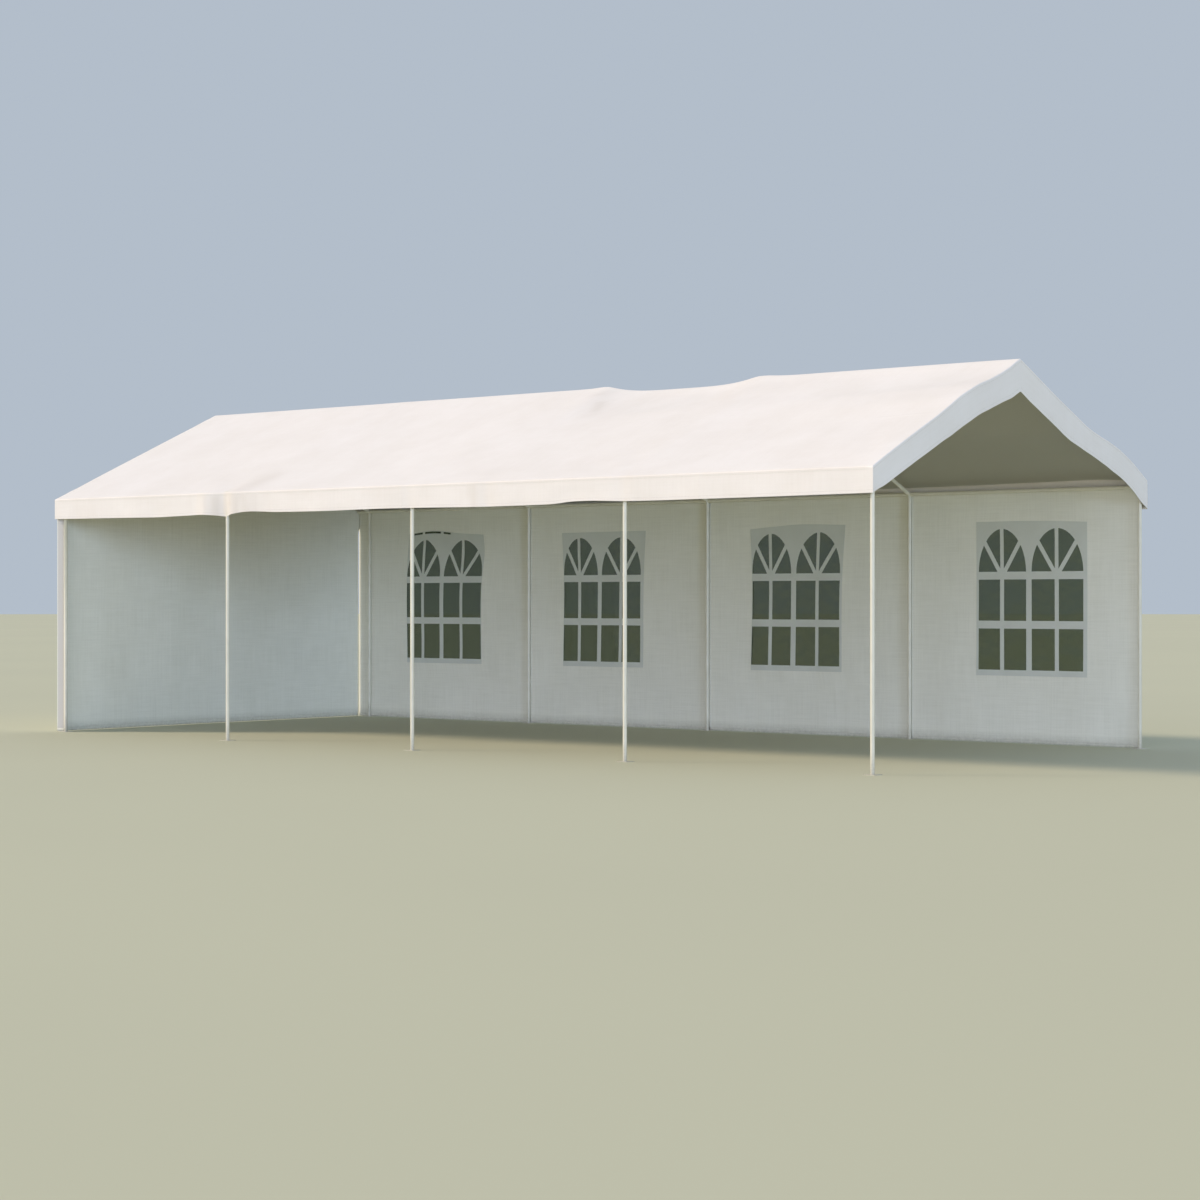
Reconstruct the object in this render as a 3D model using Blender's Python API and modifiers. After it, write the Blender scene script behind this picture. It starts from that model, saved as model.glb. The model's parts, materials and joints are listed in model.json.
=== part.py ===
"""A long party marquee: white steel tube frame, gabled cloth cover, cloth walls on two sides.

Axes: +X runs along the ridge, -Y is the open long side, +Z is up.
The origin lies on the ground under the middle of the cover.
"""

import math

import bmesh
import bpy
from mathutils import Matrix, Vector

# Frame
BAYS = 4
BAY = 2.25
WIDTH = 4.0
EAVE_HEIGHT = 2.17
RIDGE_HEIGHT = 3.06
TUBE_DIAMETER = 0.032
TUBE_WALL = 0.0012
TUBE_SIDES = 16

# Sockets that join the tubes
SOCKET_FIT = 0.0006
SOCKET_WALL = 0.0018
BRANCH_WALL = 0.0012
SOCKET_LENGTH = 0.09
SOCKET_STOP = 0.024
TUBE_STOP = 0.03

# Feet
FOOT_SIZE = 0.10
FOOT_THICKNESS = 0.004

# Cloth
CLOTH = 0.004
SIDE_OVERHANG = 0.045
RIGHT_OVERHANG = 0.034
LEFT_OVERHANG = 0.172
VALANCE_DROP = 0.175
HEM_HEIGHT = 0.015
RETURN_COVERS_POST = 0.010

# Windows, welded into the back walls
WINDOW_WIDTH = 1.05
WINDOW_BOTTOM = 0.58
WINDOW_TOP = 1.90
WINDOW_SHEET = 0.002
WINDOW_SHIFTS = (-0.03, -0.17, -0.10, 0.09)

# How the used tent has settled
SAGGING_BAY = 3
RIDGE_SAG = 0.05
SAG_MIDDLE = 0.555
SAG_REACH = 0.36
SAG_FADE = 1.5
FRONT_BULGE = 0.044
FRONT_BULGE_PLACE = 0.57
FRONT_BULGE_SHARPNESS = 3.5
BACK_BULGE = 0.086
BACK_BULGE_PLACE = 0.165
BACK_BULGE_SHARPNESS = 8.0
GABLE_DROPS_MORE = 0.06

# Space between pieces that touch
GAP = 0.0003

# How finely the cover is divided
STEPS_IN_BAY = 6
STEPS_IN_SAGGING_BAY = 12
STEPS_UP_SLOPE = 9

TUBE_RADIUS = TUBE_DIAMETER / 2
BORE_RADIUS = TUBE_RADIUS + SOCKET_FIT
SOCKET_RADIUS = BORE_RADIUS + SOCKET_WALL
BRANCH_RADIUS = BORE_RADIUS + BRANCH_WALL
HALF_WIDTH = WIDTH / 2
PITCH = math.atan2(RIDGE_HEIGHT - EAVE_HEIGHT, HALF_WIDTH)
CLOTH_RISE = CLOTH / math.cos(PITCH)
EDGE_Y = HALF_WIDTH + SIDE_OVERHANG
COVER_LENGTH = LEFT_OVERHANG + BAYS * BAY + RIGHT_OVERHANG
COVER_LEFT = -COVER_LENGTH / 2
COVER_RIGHT = COVER_LENGTH / 2
WALL_INSIDE_Y = HALF_WIDTH + SOCKET_RADIUS + GAP
WALL_OUTSIDE_Y = WALL_INSIDE_Y + CLOTH
END_WALL_OUTSIDE_X = COVER_LEFT + CLOTH + GAP
END_WALL_INSIDE_X = END_WALL_OUTSIDE_X + CLOTH


def frame_x(index):
    """Place of a frame line along the ridge, counted from the left end."""
    return COVER_LEFT + LEFT_OVERHANG + index * BAY


def ridge_sag(x):
    """How far the ridge has dropped at x: one pole has given way between two kinks."""
    middle = frame_x(SAGGING_BAY - 1) + SAG_MIDDLE * BAY
    away = abs(x - middle) / (SAG_REACH * BAY)
    return RIDGE_SAG * (1.0 - away ** 4) ** 1.5 if away < 1.0 else 0.0


def bulge(share, place, sharpness):
    """A smooth hump that is 0 at both ends of a slope and 1 at its place."""
    if share <= 0.0 or share >= 1.0:
        return 0.0
    rise = (share / place) ** (sharpness * place)
    fall = ((1.0 - share) / (1.0 - place)) ** (sharpness * (1.0 - place))
    return rise * fall


def cover_underside(x, y):
    """Height of the cover's underside. It rests on the sockets, and bellies out at the right end."""
    base = RIDGE_HEIGHT + (SOCKET_RADIUS + GAP) / math.cos(PITCH) - abs(y) * math.tan(PITCH)
    share = 1.0 - abs(y) / EDGE_Y
    sag = ridge_sag(x) * share ** SAG_FADE
    along = min(max((x - frame_x(BAYS - 1)) / (COVER_RIGHT - frame_x(BAYS - 1)), 0.0), 1.0)
    weight = along * along * (3.0 - 2.0 * along)
    if y < 0.0:
        belly = FRONT_BULGE * bulge(share, FRONT_BULGE_PLACE, FRONT_BULGE_SHARPNESS)
    else:
        belly = BACK_BULGE * bulge(share, BACK_BULGE_PLACE, BACK_BULGE_SHARPNESS)
    return base - sag + weight * belly


def bay_stations(index):
    """Places between two frame lines where the ridge pole and the cover are bent alike."""
    start = frame_x(index) + SOCKET_LENGTH
    end = frame_x(index + 1) - SOCKET_LENGTH
    steps = STEPS_IN_SAGGING_BAY if index == SAGGING_BAY - 1 else STEPS_IN_BAY
    return [start + (end - start) * step / steps for step in range(steps + 1)]


def slope_rows(side):
    """Places up a slope where the cover is bent: its edge, the side valance's inner face, then even steps."""
    edge, inner, ridge = EDGE_Y, EDGE_Y - CLOTH - GAP, GAP
    steps = [inner + (ridge - inner) * step / STEPS_UP_SLOPE for step in range(STEPS_UP_SLOPE + 1)]
    return [side * y for y in [edge, *steps]]


def clear_scene():
    """Remove what the scene holds at the start."""
    for old in list(bpy.data.objects):
        bpy.data.objects.remove(old, do_unlink=True)


def new_collection(name):
    """Make a collection in the scene."""
    group = bpy.data.collections.new(name)
    bpy.context.scene.collection.children.link(group)
    return group


def linear(level):
    """Turn one sRGB level, 0 to 255, into a linear one."""
    share = level / 255.0
    return share / 12.92 if share <= 0.04045 else ((share + 0.055) / 1.055) ** 2.4


def make_material(name, rgb, roughness, alpha=1.0):
    """A plain Principled material."""
    made = bpy.data.materials.new(name)
    made.use_nodes = True
    shader = made.node_tree.nodes["Principled BSDF"]
    shader.inputs["Base Color"].default_value = (*[linear(level) for level in rgb], 1.0)
    shader.inputs["Roughness"].default_value = roughness
    shader.inputs["Metallic"].default_value = 0.0
    shader.inputs["Alpha"].default_value = alpha
    return made


def rod(bm, start, end, radius):
    """Add a solid cylinder between two points."""
    start, end = Vector(start), Vector(end)
    along = end - start
    turn = along.to_track_quat("Z", "Y").to_matrix().to_4x4()
    bmesh.ops.create_cone(
        bm, cap_ends=True, segments=TUBE_SIDES, radius1=radius, radius2=radius,
        depth=along.length, matrix=Matrix.Translation((start + end) / 2) @ turn)


def box(bm, low, high):
    """Add a box between two corners."""
    low, high = Vector(low), Vector(high)
    bmesh.ops.create_cube(
        bm, size=1.0, matrix=Matrix.Translation((low + high) / 2) @ Matrix.Diagonal((*(high - low), 1.0)))


def add_object(name, mesh, group, material=None):
    """Link a mesh as an object in a collection."""
    made = bpy.data.objects.new(name, mesh)
    if material:
        mesh.materials.append(material)
    group.objects.link(made)
    return made


def from_bmesh(name, bm, group, material=None):
    """Make an object from a bmesh and free it."""
    mesh = bpy.data.meshes.new(name)
    bm.to_mesh(mesh)
    bm.free()
    return add_object(name, mesh, group, material)


def smooth(mesh):
    """Shade round faces smooth and keep edges sharp."""
    mesh.shade_smooth()
    mesh.set_sharp_from_angle(angle=math.radians(35))


def combine(target, bm, operation, tools):
    """Join or cut the target with the solids in a bmesh."""
    tool = from_bmesh(f"{target.name}_{operation.lower()}", bm, tools)
    tool.hide_render = True
    tool.display_type = "WIRE"
    step = target.modifiers.new(operation.title(), "BOOLEAN")
    step.operation = operation
    step.solver = "EXACT"
    step.use_self = operation == "UNION"
    step.object = tool


def mesh_of_curve(name, curve, matrix, group, material):
    """Turn curve data into a mesh object whose loose caps are welded."""
    guide = bpy.data.objects.new(name + "_curve", curve)
    group.objects.link(guide)
    guide.matrix_world = matrix
    bpy.context.view_layer.update()
    graph = bpy.context.evaluated_depsgraph_get()
    mesh = bpy.data.meshes.new_from_object(guide.evaluated_get(graph))
    bm = bmesh.new()
    bm.from_mesh(mesh)
    bmesh.ops.remove_doubles(bm, verts=bm.verts, dist=0.00001)
    bmesh.ops.recalc_face_normals(bm, faces=bm.faces)
    bm.to_mesh(mesh)
    bm.free()
    bpy.data.objects.remove(guide, do_unlink=True)
    made = add_object(name, mesh, group, material)
    made.matrix_world = matrix
    return made


def tube(name, points, group, material):
    """A steel tube, open at both ends, along a row of points."""
    curve = bpy.data.curves.new(name, "CURVE")
    curve.dimensions = "3D"
    curve.bevel_depth = TUBE_RADIUS
    curve.bevel_resolution = TUBE_SIDES // 2 - 2
    curve.use_fill_caps = False
    spline = curve.splines.new("POLY")
    spline.points.add(len(points) - 1)
    for point, place in zip(spline.points, points):
        point.co = (*place, 1.0)
    made = mesh_of_curve(name, curve, Matrix.Identity(4), group, material)
    smooth(made.data)
    wall = made.modifiers.new("Wall", "SOLIDIFY")
    wall.thickness = TUBE_WALL
    wall.offset = -1.0
    return made


def cross_panel(name, outline, low_x, group, material):
    """A flat sheet of cloth that stands across the ridge, from its outline in Y and Z."""
    curve = bpy.data.curves.new(name, "CURVE")
    curve.dimensions = "2D"
    curve.fill_mode = "BOTH"
    curve.extrude = CLOTH / 2
    spline = curve.splines.new("POLY")
    spline.points.add(len(outline) - 1)
    for point, (y, z) in zip(spline.points, outline):
        point.co = (y, z, 0.0, 1.0)
    spline.use_cyclic_u = True
    upright = Matrix(((0, 0, 1, low_x + CLOTH / 2), (1, 0, 0, 0), (0, 1, 0, 0), (0, 0, 0, 1)))
    return mesh_of_curve(name, curve, upright, group, material)


def slope_direction(side):
    """Unit vector up the slope from the front (-1) or back (+1) eave."""
    return Vector((0.0, -side * math.cos(PITCH), math.sin(PITCH)))


def bore(bores, centre, direction):
    """Add the blind bore of a socket, which takes a tube's end."""
    start = centre + direction * SOCKET_STOP
    rod(bores, start, centre + direction * (SOCKET_LENGTH + GAP), BORE_RADIUS)


def add_run(solids, bores, centre, index):
    """The connector's sockets along the ridge or eave, with a stub for the cover at the left end."""
    along = Vector((1, 0, 0))
    left, right = centre - along * SOCKET_LENGTH, centre + along * SOCKET_LENGTH
    if index == 0:
        left = Vector((END_WALL_INSIDE_X + GAP, centre.y, centre.z))
    else:
        bore(bores, centre, -along)
    if index == BAYS:
        right = centre + along * SOCKET_RADIUS
    else:
        bore(bores, centre, along)
    rod(solids, left, right, SOCKET_RADIUS)


def make_post(name, index, side, group, tools, material):
    """A post with its foot plate below and its eave connector on top."""
    x, y = frame_x(index), side * HALF_WIDTH
    eave, up = Vector((x, y, EAVE_HEIGHT)), slope_direction(side)
    base, solids, bores = bmesh.new(), bmesh.new(), bmesh.new()
    half = FOOT_SIZE / 2
    box(base, (x - half, y - half, 0.0), (x + half, y + half, FOOT_THICKNESS))
    rod(solids, (x, y, FOOT_THICKNESS / 2), eave, TUBE_RADIUS)
    rod(solids, eave, (x, y, EAVE_HEIGHT - SOCKET_LENGTH), BRANCH_RADIUS)
    rod(solids, eave, eave + up * SOCKET_LENGTH, BRANCH_RADIUS)
    add_run(solids, bores, eave, index)
    bore(bores, eave, up)
    rod(bores, (x, y, -GAP), (x, y, EAVE_HEIGHT - SOCKET_LENGTH), TUBE_RADIUS - TUBE_WALL)
    post = from_bmesh(name, base, group, material)
    combine(post, solids, "UNION", tools)
    combine(post, bores, "DIFFERENCE", tools)
    return post


def make_truss(name, index, group, tools, material):
    """A ridge connector with the front and back rafters that it holds."""
    ridge = Vector((frame_x(index), 0.0, RIDGE_HEIGHT))
    base, solids, bores = bmesh.new(), bmesh.new(), bmesh.new()
    add_run(base, bores, ridge, index)
    for side in (-1, 1):
        up = slope_direction(side)
        foot = Vector((ridge.x, side * HALF_WIDTH, EAVE_HEIGHT)) + up * TUBE_STOP
        rod(solids, ridge, ridge - up * SOCKET_LENGTH, BRANCH_RADIUS)
        rod(solids, ridge, foot, TUBE_RADIUS)
        rod(bores, ridge - up * SOCKET_LENGTH, foot - up * GAP, TUBE_RADIUS - TUBE_WALL)
    truss = from_bmesh(name, base, group, material)
    combine(truss, solids, "UNION", tools)
    combine(truss, bores, "DIFFERENCE", tools)
    return truss


def make_poles(group, material):
    """Eave and ridge poles of every bay, each pushed into a socket at both ends."""
    for index in range(BAYS):
        start, end = frame_x(index) + TUBE_STOP, frame_x(index + 1) - TUBE_STOP
        for label, side in (("front", -1), ("back", 1)):
            y = side * HALF_WIDTH
            ends = [(start, y, EAVE_HEIGHT), (end, y, EAVE_HEIGHT)]
            tube(f"{label}_eave_pole_{index + 1}", ends, group, material)
        places = [start, end]
        if index == SAGGING_BAY - 1:
            places = [start, *bay_stations(index), end]
        path = [(x, 0.0, RIDGE_HEIGHT - ridge_sag(x)) for x in places]
        tube(f"ridge_pole_{index + 1}", path, group, material)


def make_slope(name, side, group, material):
    """One slope of the cover, from its eave edge to the ridge, as a sheet of even thickness."""
    stations = [COVER_LEFT, COVER_RIGHT]
    for index in range(BAYS):
        stations += bay_stations(index)
    stations.sort()
    rows = slope_rows(side)
    columns_between, rows_between = len(stations) - 1, len(rows) - 1
    bm = bmesh.new()
    bmesh.ops.create_grid(bm, x_segments=columns_between, y_segments=rows_between, size=1.0)
    for vert in bm.verts:
        x = stations[round((vert.co.x + 1.0) / 2.0 * columns_between)]
        y = rows[round((vert.co.y + 1.0) / 2.0 * rows_between)]
        vert.co = (x, y, cover_underside(x, y))
    raised = bmesh.ops.extrude_face_region(bm, geom=bm.faces[:])
    for part in raised["geom"]:
        if isinstance(part, bmesh.types.BMVert):
            part.co.z += CLOTH_RISE
    bmesh.ops.recalc_face_normals(bm, faces=bm.faces)
    return from_bmesh(name, bm, group, material)


def make_side_valance(name, side, group, material):
    """The strip that hangs along an eave, just under the slope's edge."""
    top = cover_underside(0.0, side * EDGE_Y) - GAP
    ys = sorted((side * EDGE_Y, side * (EDGE_Y - CLOTH)))
    bm = bmesh.new()
    box(bm, (COVER_LEFT, ys[0], top - VALANCE_DROP), (COVER_RIGHT, ys[1], top))
    return from_bmesh(name, bm, group, material)


def make_gable_valance(name, x, low_x, side, group, material):
    """Half of the strip that hangs along a gable, from the eave corner to the peak, where it is deeper."""
    top = [(y, cover_underside(x, y) - GAP) for y in slope_rows(side)[1:]]
    drops = [VALANCE_DROP + GABLE_DROPS_MORE * (1.0 - abs(y) / EDGE_Y) ** 0.5 for y, _ in top]
    bottom = [(y, z - drop) for (y, z), drop in zip(reversed(top), reversed(drops))]
    return cross_panel(name, top + bottom, low_x, group, material)


def make_cover(group, material):
    """Both slopes of the cover and the valance all round."""
    for label, side in (("front", -1), ("back", 1)):
        make_slope(f"cover_{label}_slope", side, group, material)
        make_side_valance(f"{label}_valance", side, group, material)
        make_gable_valance(
            f"right_gable_valance_{label}", COVER_RIGHT, COVER_RIGHT - CLOTH, side, group, material)
        make_gable_valance(f"left_gable_valance_{label}", COVER_LEFT, COVER_LEFT, side, group, material)


def make_back_walls(group, tools, cloth, clear):
    """One wall for each bay, hung outside the posts, with a window sheet set into each."""
    top = cover_underside(0.0, WALL_OUTSIDE_Y) - GAP
    middle_y = (WALL_INSIDE_Y + WALL_OUTSIDE_Y) / 2
    for index in range(BAYS):
        left = END_WALL_OUTSIDE_X if index == 0 else frame_x(index) + GAP
        right = frame_x(index + 1) if index < BAYS - 1 else frame_x(BAYS) + SOCKET_RADIUS
        panel = bmesh.new()
        box(panel, (left, WALL_INSIDE_Y, HEM_HEIGHT), (right, WALL_OUTSIDE_Y, top))
        wall = from_bmesh(f"back_wall_{index + 1}", panel, group, cloth)
        centre = frame_x(index) + BAY / 2 + WINDOW_SHIFTS[index % len(WINDOW_SHIFTS)]
        low, high = centre - WINDOW_WIDTH / 2, centre + WINDOW_WIDTH / 2
        hole = bmesh.new()
        box(hole, (low, WALL_INSIDE_Y - CLOTH, WINDOW_BOTTOM), (high, WALL_OUTSIDE_Y + CLOTH, WINDOW_TOP))
        combine(wall, hole, "DIFFERENCE", tools)
        sheet = bmesh.new()
        box(sheet,
            (low + GAP, middle_y - WINDOW_SHEET / 2, WINDOW_BOTTOM + GAP),
            (high - GAP, middle_y + WINDOW_SHEET / 2, WINDOW_TOP - GAP))
        from_bmesh(f"window_{index + 1}", sheet, group, clear)


def make_end_wall(group, tools, material):
    """The wall that closes the left end up to the gable and turns round the front corner post."""
    back = WALL_INSIDE_Y - GAP
    roof = [(y, cover_underside(COVER_LEFT, y) - GAP) for y in (back, 0.0, -WALL_OUTSIDE_Y)]
    outline = [(-WALL_OUTSIDE_Y, HEM_HEIGHT), (back, HEM_HEIGHT), *roof]
    wall = cross_panel("left_end_wall", outline, END_WALL_OUTSIDE_X, group, material)
    strip = bmesh.new()
    top = cover_underside(COVER_LEFT, WALL_OUTSIDE_Y) - GAP
    box(strip,
        (END_WALL_OUTSIDE_X + CLOTH / 2, -WALL_OUTSIDE_Y, HEM_HEIGHT),
        (frame_x(0) - TUBE_RADIUS + RETURN_COVERS_POST, -WALL_INSIDE_Y, top))
    combine(wall, strip, "UNION", tools)


def main():
    """Build the marquee."""
    clear_scene()
    group = new_collection("marquee")
    tools = new_collection("cutters")
    steel = make_material("painted_steel", (226, 226, 218), 0.4)
    cover_cloth = make_material("cover_cloth", (246, 240, 234), 0.6)
    wall_cloth = make_material("wall_cloth", (226, 227, 220), 0.6)
    clear = make_material("window_sheet", (160, 168, 165), 0.15, alpha=0.5)
    for index in range(BAYS + 1):
        make_post(f"front_post_{index + 1}", index, -1, group, tools, steel)
        make_post(f"back_post_{index + 1}", index, 1, group, tools, steel)
        make_truss(f"roof_truss_{index + 1}", index, group, tools, steel)
    make_poles(group, steel)
    make_cover(group, cover_cloth)
    make_back_walls(group, tools, wall_cloth, clear)
    make_end_wall(group, tools, wall_cloth)


if __name__ == "__main__":
    main()
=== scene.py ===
"""Dress the party marquee: one sewn roof cover, hung walls with arched windows, and the painted tube frame.

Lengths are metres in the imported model's own frame: +X runs along the ridge to the open gable, -Y is the
open long side and +Z is up. The frame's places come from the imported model, so nothing here moves or resizes
it.
"""

import json
import logging
import math
from collections.abc import Callable, Iterable, Sequence
from dataclasses import dataclass
from enum import Enum
from functools import partial

import bmesh
import bpy
import numpy as np
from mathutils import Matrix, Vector, noise


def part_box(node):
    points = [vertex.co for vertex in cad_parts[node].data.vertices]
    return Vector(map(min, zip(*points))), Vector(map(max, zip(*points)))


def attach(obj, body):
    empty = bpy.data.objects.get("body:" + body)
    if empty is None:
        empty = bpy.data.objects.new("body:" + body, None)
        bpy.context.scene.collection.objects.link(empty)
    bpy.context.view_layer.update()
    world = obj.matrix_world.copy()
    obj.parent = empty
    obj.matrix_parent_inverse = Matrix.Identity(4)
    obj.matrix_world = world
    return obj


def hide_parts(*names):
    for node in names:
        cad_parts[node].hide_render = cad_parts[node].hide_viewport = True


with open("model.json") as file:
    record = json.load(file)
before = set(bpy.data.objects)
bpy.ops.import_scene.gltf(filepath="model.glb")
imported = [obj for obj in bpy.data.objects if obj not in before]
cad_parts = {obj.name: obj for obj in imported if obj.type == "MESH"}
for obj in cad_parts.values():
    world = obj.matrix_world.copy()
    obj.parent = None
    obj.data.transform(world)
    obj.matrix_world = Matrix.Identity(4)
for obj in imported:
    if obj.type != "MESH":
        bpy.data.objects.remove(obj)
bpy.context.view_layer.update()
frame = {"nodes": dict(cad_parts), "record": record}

LOG = logging.getLogger("marquee")
MM = 0.001
FIRST_POST = "first_front_post"

# The map of a sheet's flat coordinates, in metres, and the attribute that says how much painted shade darkens
# it, from 0 to 1
FLAT_MAP = "Flat"
PAINTED_SHADE_MAP = "PaintedShade"

# How close two points have to be to become one
WELD = 0.01 * MM

# How far a hem lips over the edge of its sheet
LIP = 0.4 * MM

# A place inside the tent, which the cover's outer faces point away from
MIDDLE = Vector((0.0, 0.0, 1.0))

# Length of one band of a wave texture at scale 1
WAVE_BAND = math.tau / 20.0

Outline = list[tuple[float, float]]
Light = tuple[float, float, float]
Place = Callable[[np.ndarray, np.ndarray], np.ndarray]


class Side(Enum):
    """The two long sides, by the sign of their Y."""

    FRONT = -1
    BACK = 1


class Slot(Enum):
    """The record's material slots."""

    STEEL = "painted_steel"
    COVER = "cover_cloth"
    WALL = "wall_cloth"
    WINDOW = "window_sheet"


# Small helpers


def linear(colour: str) -> tuple[float, float, float, float]:
    """Turn an sRGB hex colour into linear values.

    Args:
        colour: Six hex digits.

    Returns:
        Linear red, green and blue, and an alpha of 1.
    """
    levels = [int(colour[i:i + 2], 16) / 255 for i in (0, 2, 4)]
    return (*(v / 12.92 if v <= 0.04045 else ((v + 0.055) / 1.055) ** 2.4 for v in levels), 1.0)


def feed(node: bpy.types.Node, inputs: dict) -> None:
    """Fill a node's sockets.

    Args:
        node: The node.
        inputs: For each socket's name or number, its value, or the output socket that feeds it.
    """
    for name, value in inputs.items():
        if isinstance(value, bpy.types.NodeSocket):
            node.id_data.links.new(value, node.inputs[name])
        else:
            node.inputs[name].default_value = value


def add_node(tree: bpy.types.NodeTree, kind: str, inputs: dict | None = None, **settings) -> bpy.types.Node:
    """Add one node, set its properties and fill its sockets.

    Args:
        tree: The tree that takes the node.
        kind: The node's type name.
        inputs: What feeds its sockets.
        **settings: The node's own properties.

    Returns:
        The new node.
    """
    made = tree.nodes.new(kind)
    for name, value in settings.items():
        setattr(made, name, value)
    feed(made, inputs or {})
    return made


def drift(a: np.ndarray, b: np.ndarray, wave_a: float, wave_b: float, seed: float) -> np.ndarray:
    """Smooth noise over flat coordinates.

    Args:
        a: First coordinate of each point.
        b: Second coordinate of each point.
        wave_a: Rough length of a wave along the first coordinate.
        wave_b: Rough length of a wave along the second.
        seed: Picks the pattern.

    Returns:
        Values from about -1 to 1, in the shape of the points.
    """
    a, b = np.broadcast_arrays(a, b)
    values = [noise.noise(Vector((u / wave_a, v / wave_b, seed))) for u, v in zip(a.flat, b.flat)]
    return np.array(values).reshape(a.shape)


def hump(x: np.ndarray, middle: float, width: float) -> np.ndarray:
    """A bell of height 1 round a middle."""
    return np.exp(-((x - middle) / width) ** 2)


def ease(x: np.ndarray, start: float, end: float) -> np.ndarray:
    """A smooth step from 0 at start to 1 at end."""
    share = np.clip((x - start) / (end - start), 0.0, 1.0)
    return share * share * (3.0 - 2.0 * share)


def inside(x: np.ndarray, low: float, high: float, width: float) -> np.ndarray:
    """1 between two ends, easing down to 0 over a width at each end."""
    return ease(x, low, low + width) * ease(-x, -high, -high + width)


@dataclass(frozen=True)
class Wave:
    """One smooth, irregular wave in the cloth.

    Attributes:
        height: Its height.
        length: Its rough length along the first flat coordinate.
        breadth: The same along the second one.
        seed: Picks the pattern.
    """

    height: float
    length: float
    breadth: float
    seed: float = 0.0

    def over(self, a: np.ndarray, b: np.ndarray, seed: float = 0.0) -> np.ndarray:
        """The wave's height at flat places, where a seed may be added to its own."""
        return self.height * drift(a, b, self.length, self.breadth, self.seed + seed)


def through(points: Sequence[tuple[float, float]], x: np.ndarray) -> np.ndarray:
    """A smooth curve through a few points.

    Args:
        points: (x, value) pairs in order of x.
        x: Where the curve is read.

    Returns:
        The curve's values.
    """
    xs, ys = (np.array(column, float) for column in zip(*points))
    slopes = np.gradient(ys, xs)
    i = np.clip(np.searchsorted(xs, x) - 1, 0, len(xs) - 2)
    span = xs[i + 1] - xs[i]
    t = np.clip((x - xs[i]) / span, 0.0, 1.0)
    start = ys[i] * (1 + 2 * t) * (1 - t) ** 2 + slopes[i] * span * t * (1 - t) ** 2
    return start + ys[i + 1] * t * t * (3 - 2 * t) - slopes[i + 1] * span * t * t * (1 - t)


def stations(low: float, high: float, step: float, also: Iterable[float] = ()) -> np.ndarray:
    """Places between two ends, about a step apart, that include some given places.

    Args:
        low: First place.
        high: Last place.
        step: The widest distance between two places.
        also: Places that have to be included.

    Returns:
        The places in order.
    """
    rounding = 1e-6
    fixed = sorted({low, high, *(v for v in also if low < v < high)})
    runs = []
    for start, end in zip(fixed, fixed[1:]):
        parts = max(1, math.ceil((end - start) / step - rounding))
        runs.append(np.linspace(start, end, parts + 1)[:-1])
    return np.array([*np.concatenate(runs), high])


def stack(*parts: np.ndarray) -> np.ndarray:
    """Join x, y and z arrays into one array of points."""
    return np.stack(np.broadcast_arrays(*parts), axis=-1)


# The frame's places


@dataclass(frozen=True)
class Skeleton:
    """Where the tubes stand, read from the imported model.

    Attributes:
        frame_x: Place of each frame line along the ridge.
        half_width: Distance of the post axes from the middle.
        eave_z: Height of the eave poles' axes.
        ridge_z: Height of the ridge poles' axes.
        socket_radius: Outer radius of the connectors that the cover rests on.
        tube_radius: Outer radius of the tubes.
    """

    frame_x: tuple[float, ...]
    half_width: float
    eave_z: float
    ridge_z: float
    socket_radius: float
    tube_radius: float

    @classmethod
    def read(cls) -> "Skeleton":
        """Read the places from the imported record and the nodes' boxes.

        Returns:
            The places.
        """
        feet = [m["pos_m"][0] for m in frame["record"]["mounts"] if m["name"].startswith("front_foot")]
        eave_low, eave_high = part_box("front_eave_pole_1")
        ridge_low, ridge_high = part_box("ridge_pole_1")
        ridge_z = (ridge_low.z + ridge_high.z) / 2
        return cls(
            frame_x=tuple(sorted(feet)),
            half_width=-(eave_low.y + eave_high.y) / 2,
            eave_z=(eave_low.z + eave_high.z) / 2,
            ridge_z=ridge_z,
            socket_radius=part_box("roof_truss_1")[1].z - ridge_z,
            tube_radius=(ridge_high.z - ridge_low.z) / 2)

    @property
    def bay(self) -> float:
        """Distance between frame lines."""
        return self.frame_x[1] - self.frame_x[0]

    @property
    def tan_pitch(self) -> float:
        """Rise of the roof for each metre across."""
        return (self.ridge_z - self.eave_z) / self.half_width

    @property
    def cos_pitch(self) -> float:
        """Cosine of the roof's pitch."""
        return 1.0 / math.hypot(1.0, self.tan_pitch)

    def share_of_bay(self, x: np.ndarray) -> np.ndarray:
        """How far x lies through its bay, from 0 to 1, and 0 outside the frame."""
        share = (x - self.frame_x[0]) / self.bay
        return np.where((share <= 0) | (share >= len(self.frame_x) - 1), 0.0, share % 1.0)


# Finishes


def new_material(name: str) -> tuple[bpy.types.Material, bpy.types.NodeTree, bpy.types.Node]:
    """Make a material that still lacks its pattern.

    Args:
        name: The material's name.

    Returns:
        The material, its tree and its shader.
    """
    made = bpy.data.materials.new(name)
    made.use_nodes = True
    return made, made.node_tree, made.node_tree.nodes["Principled BSDF"]


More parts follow.
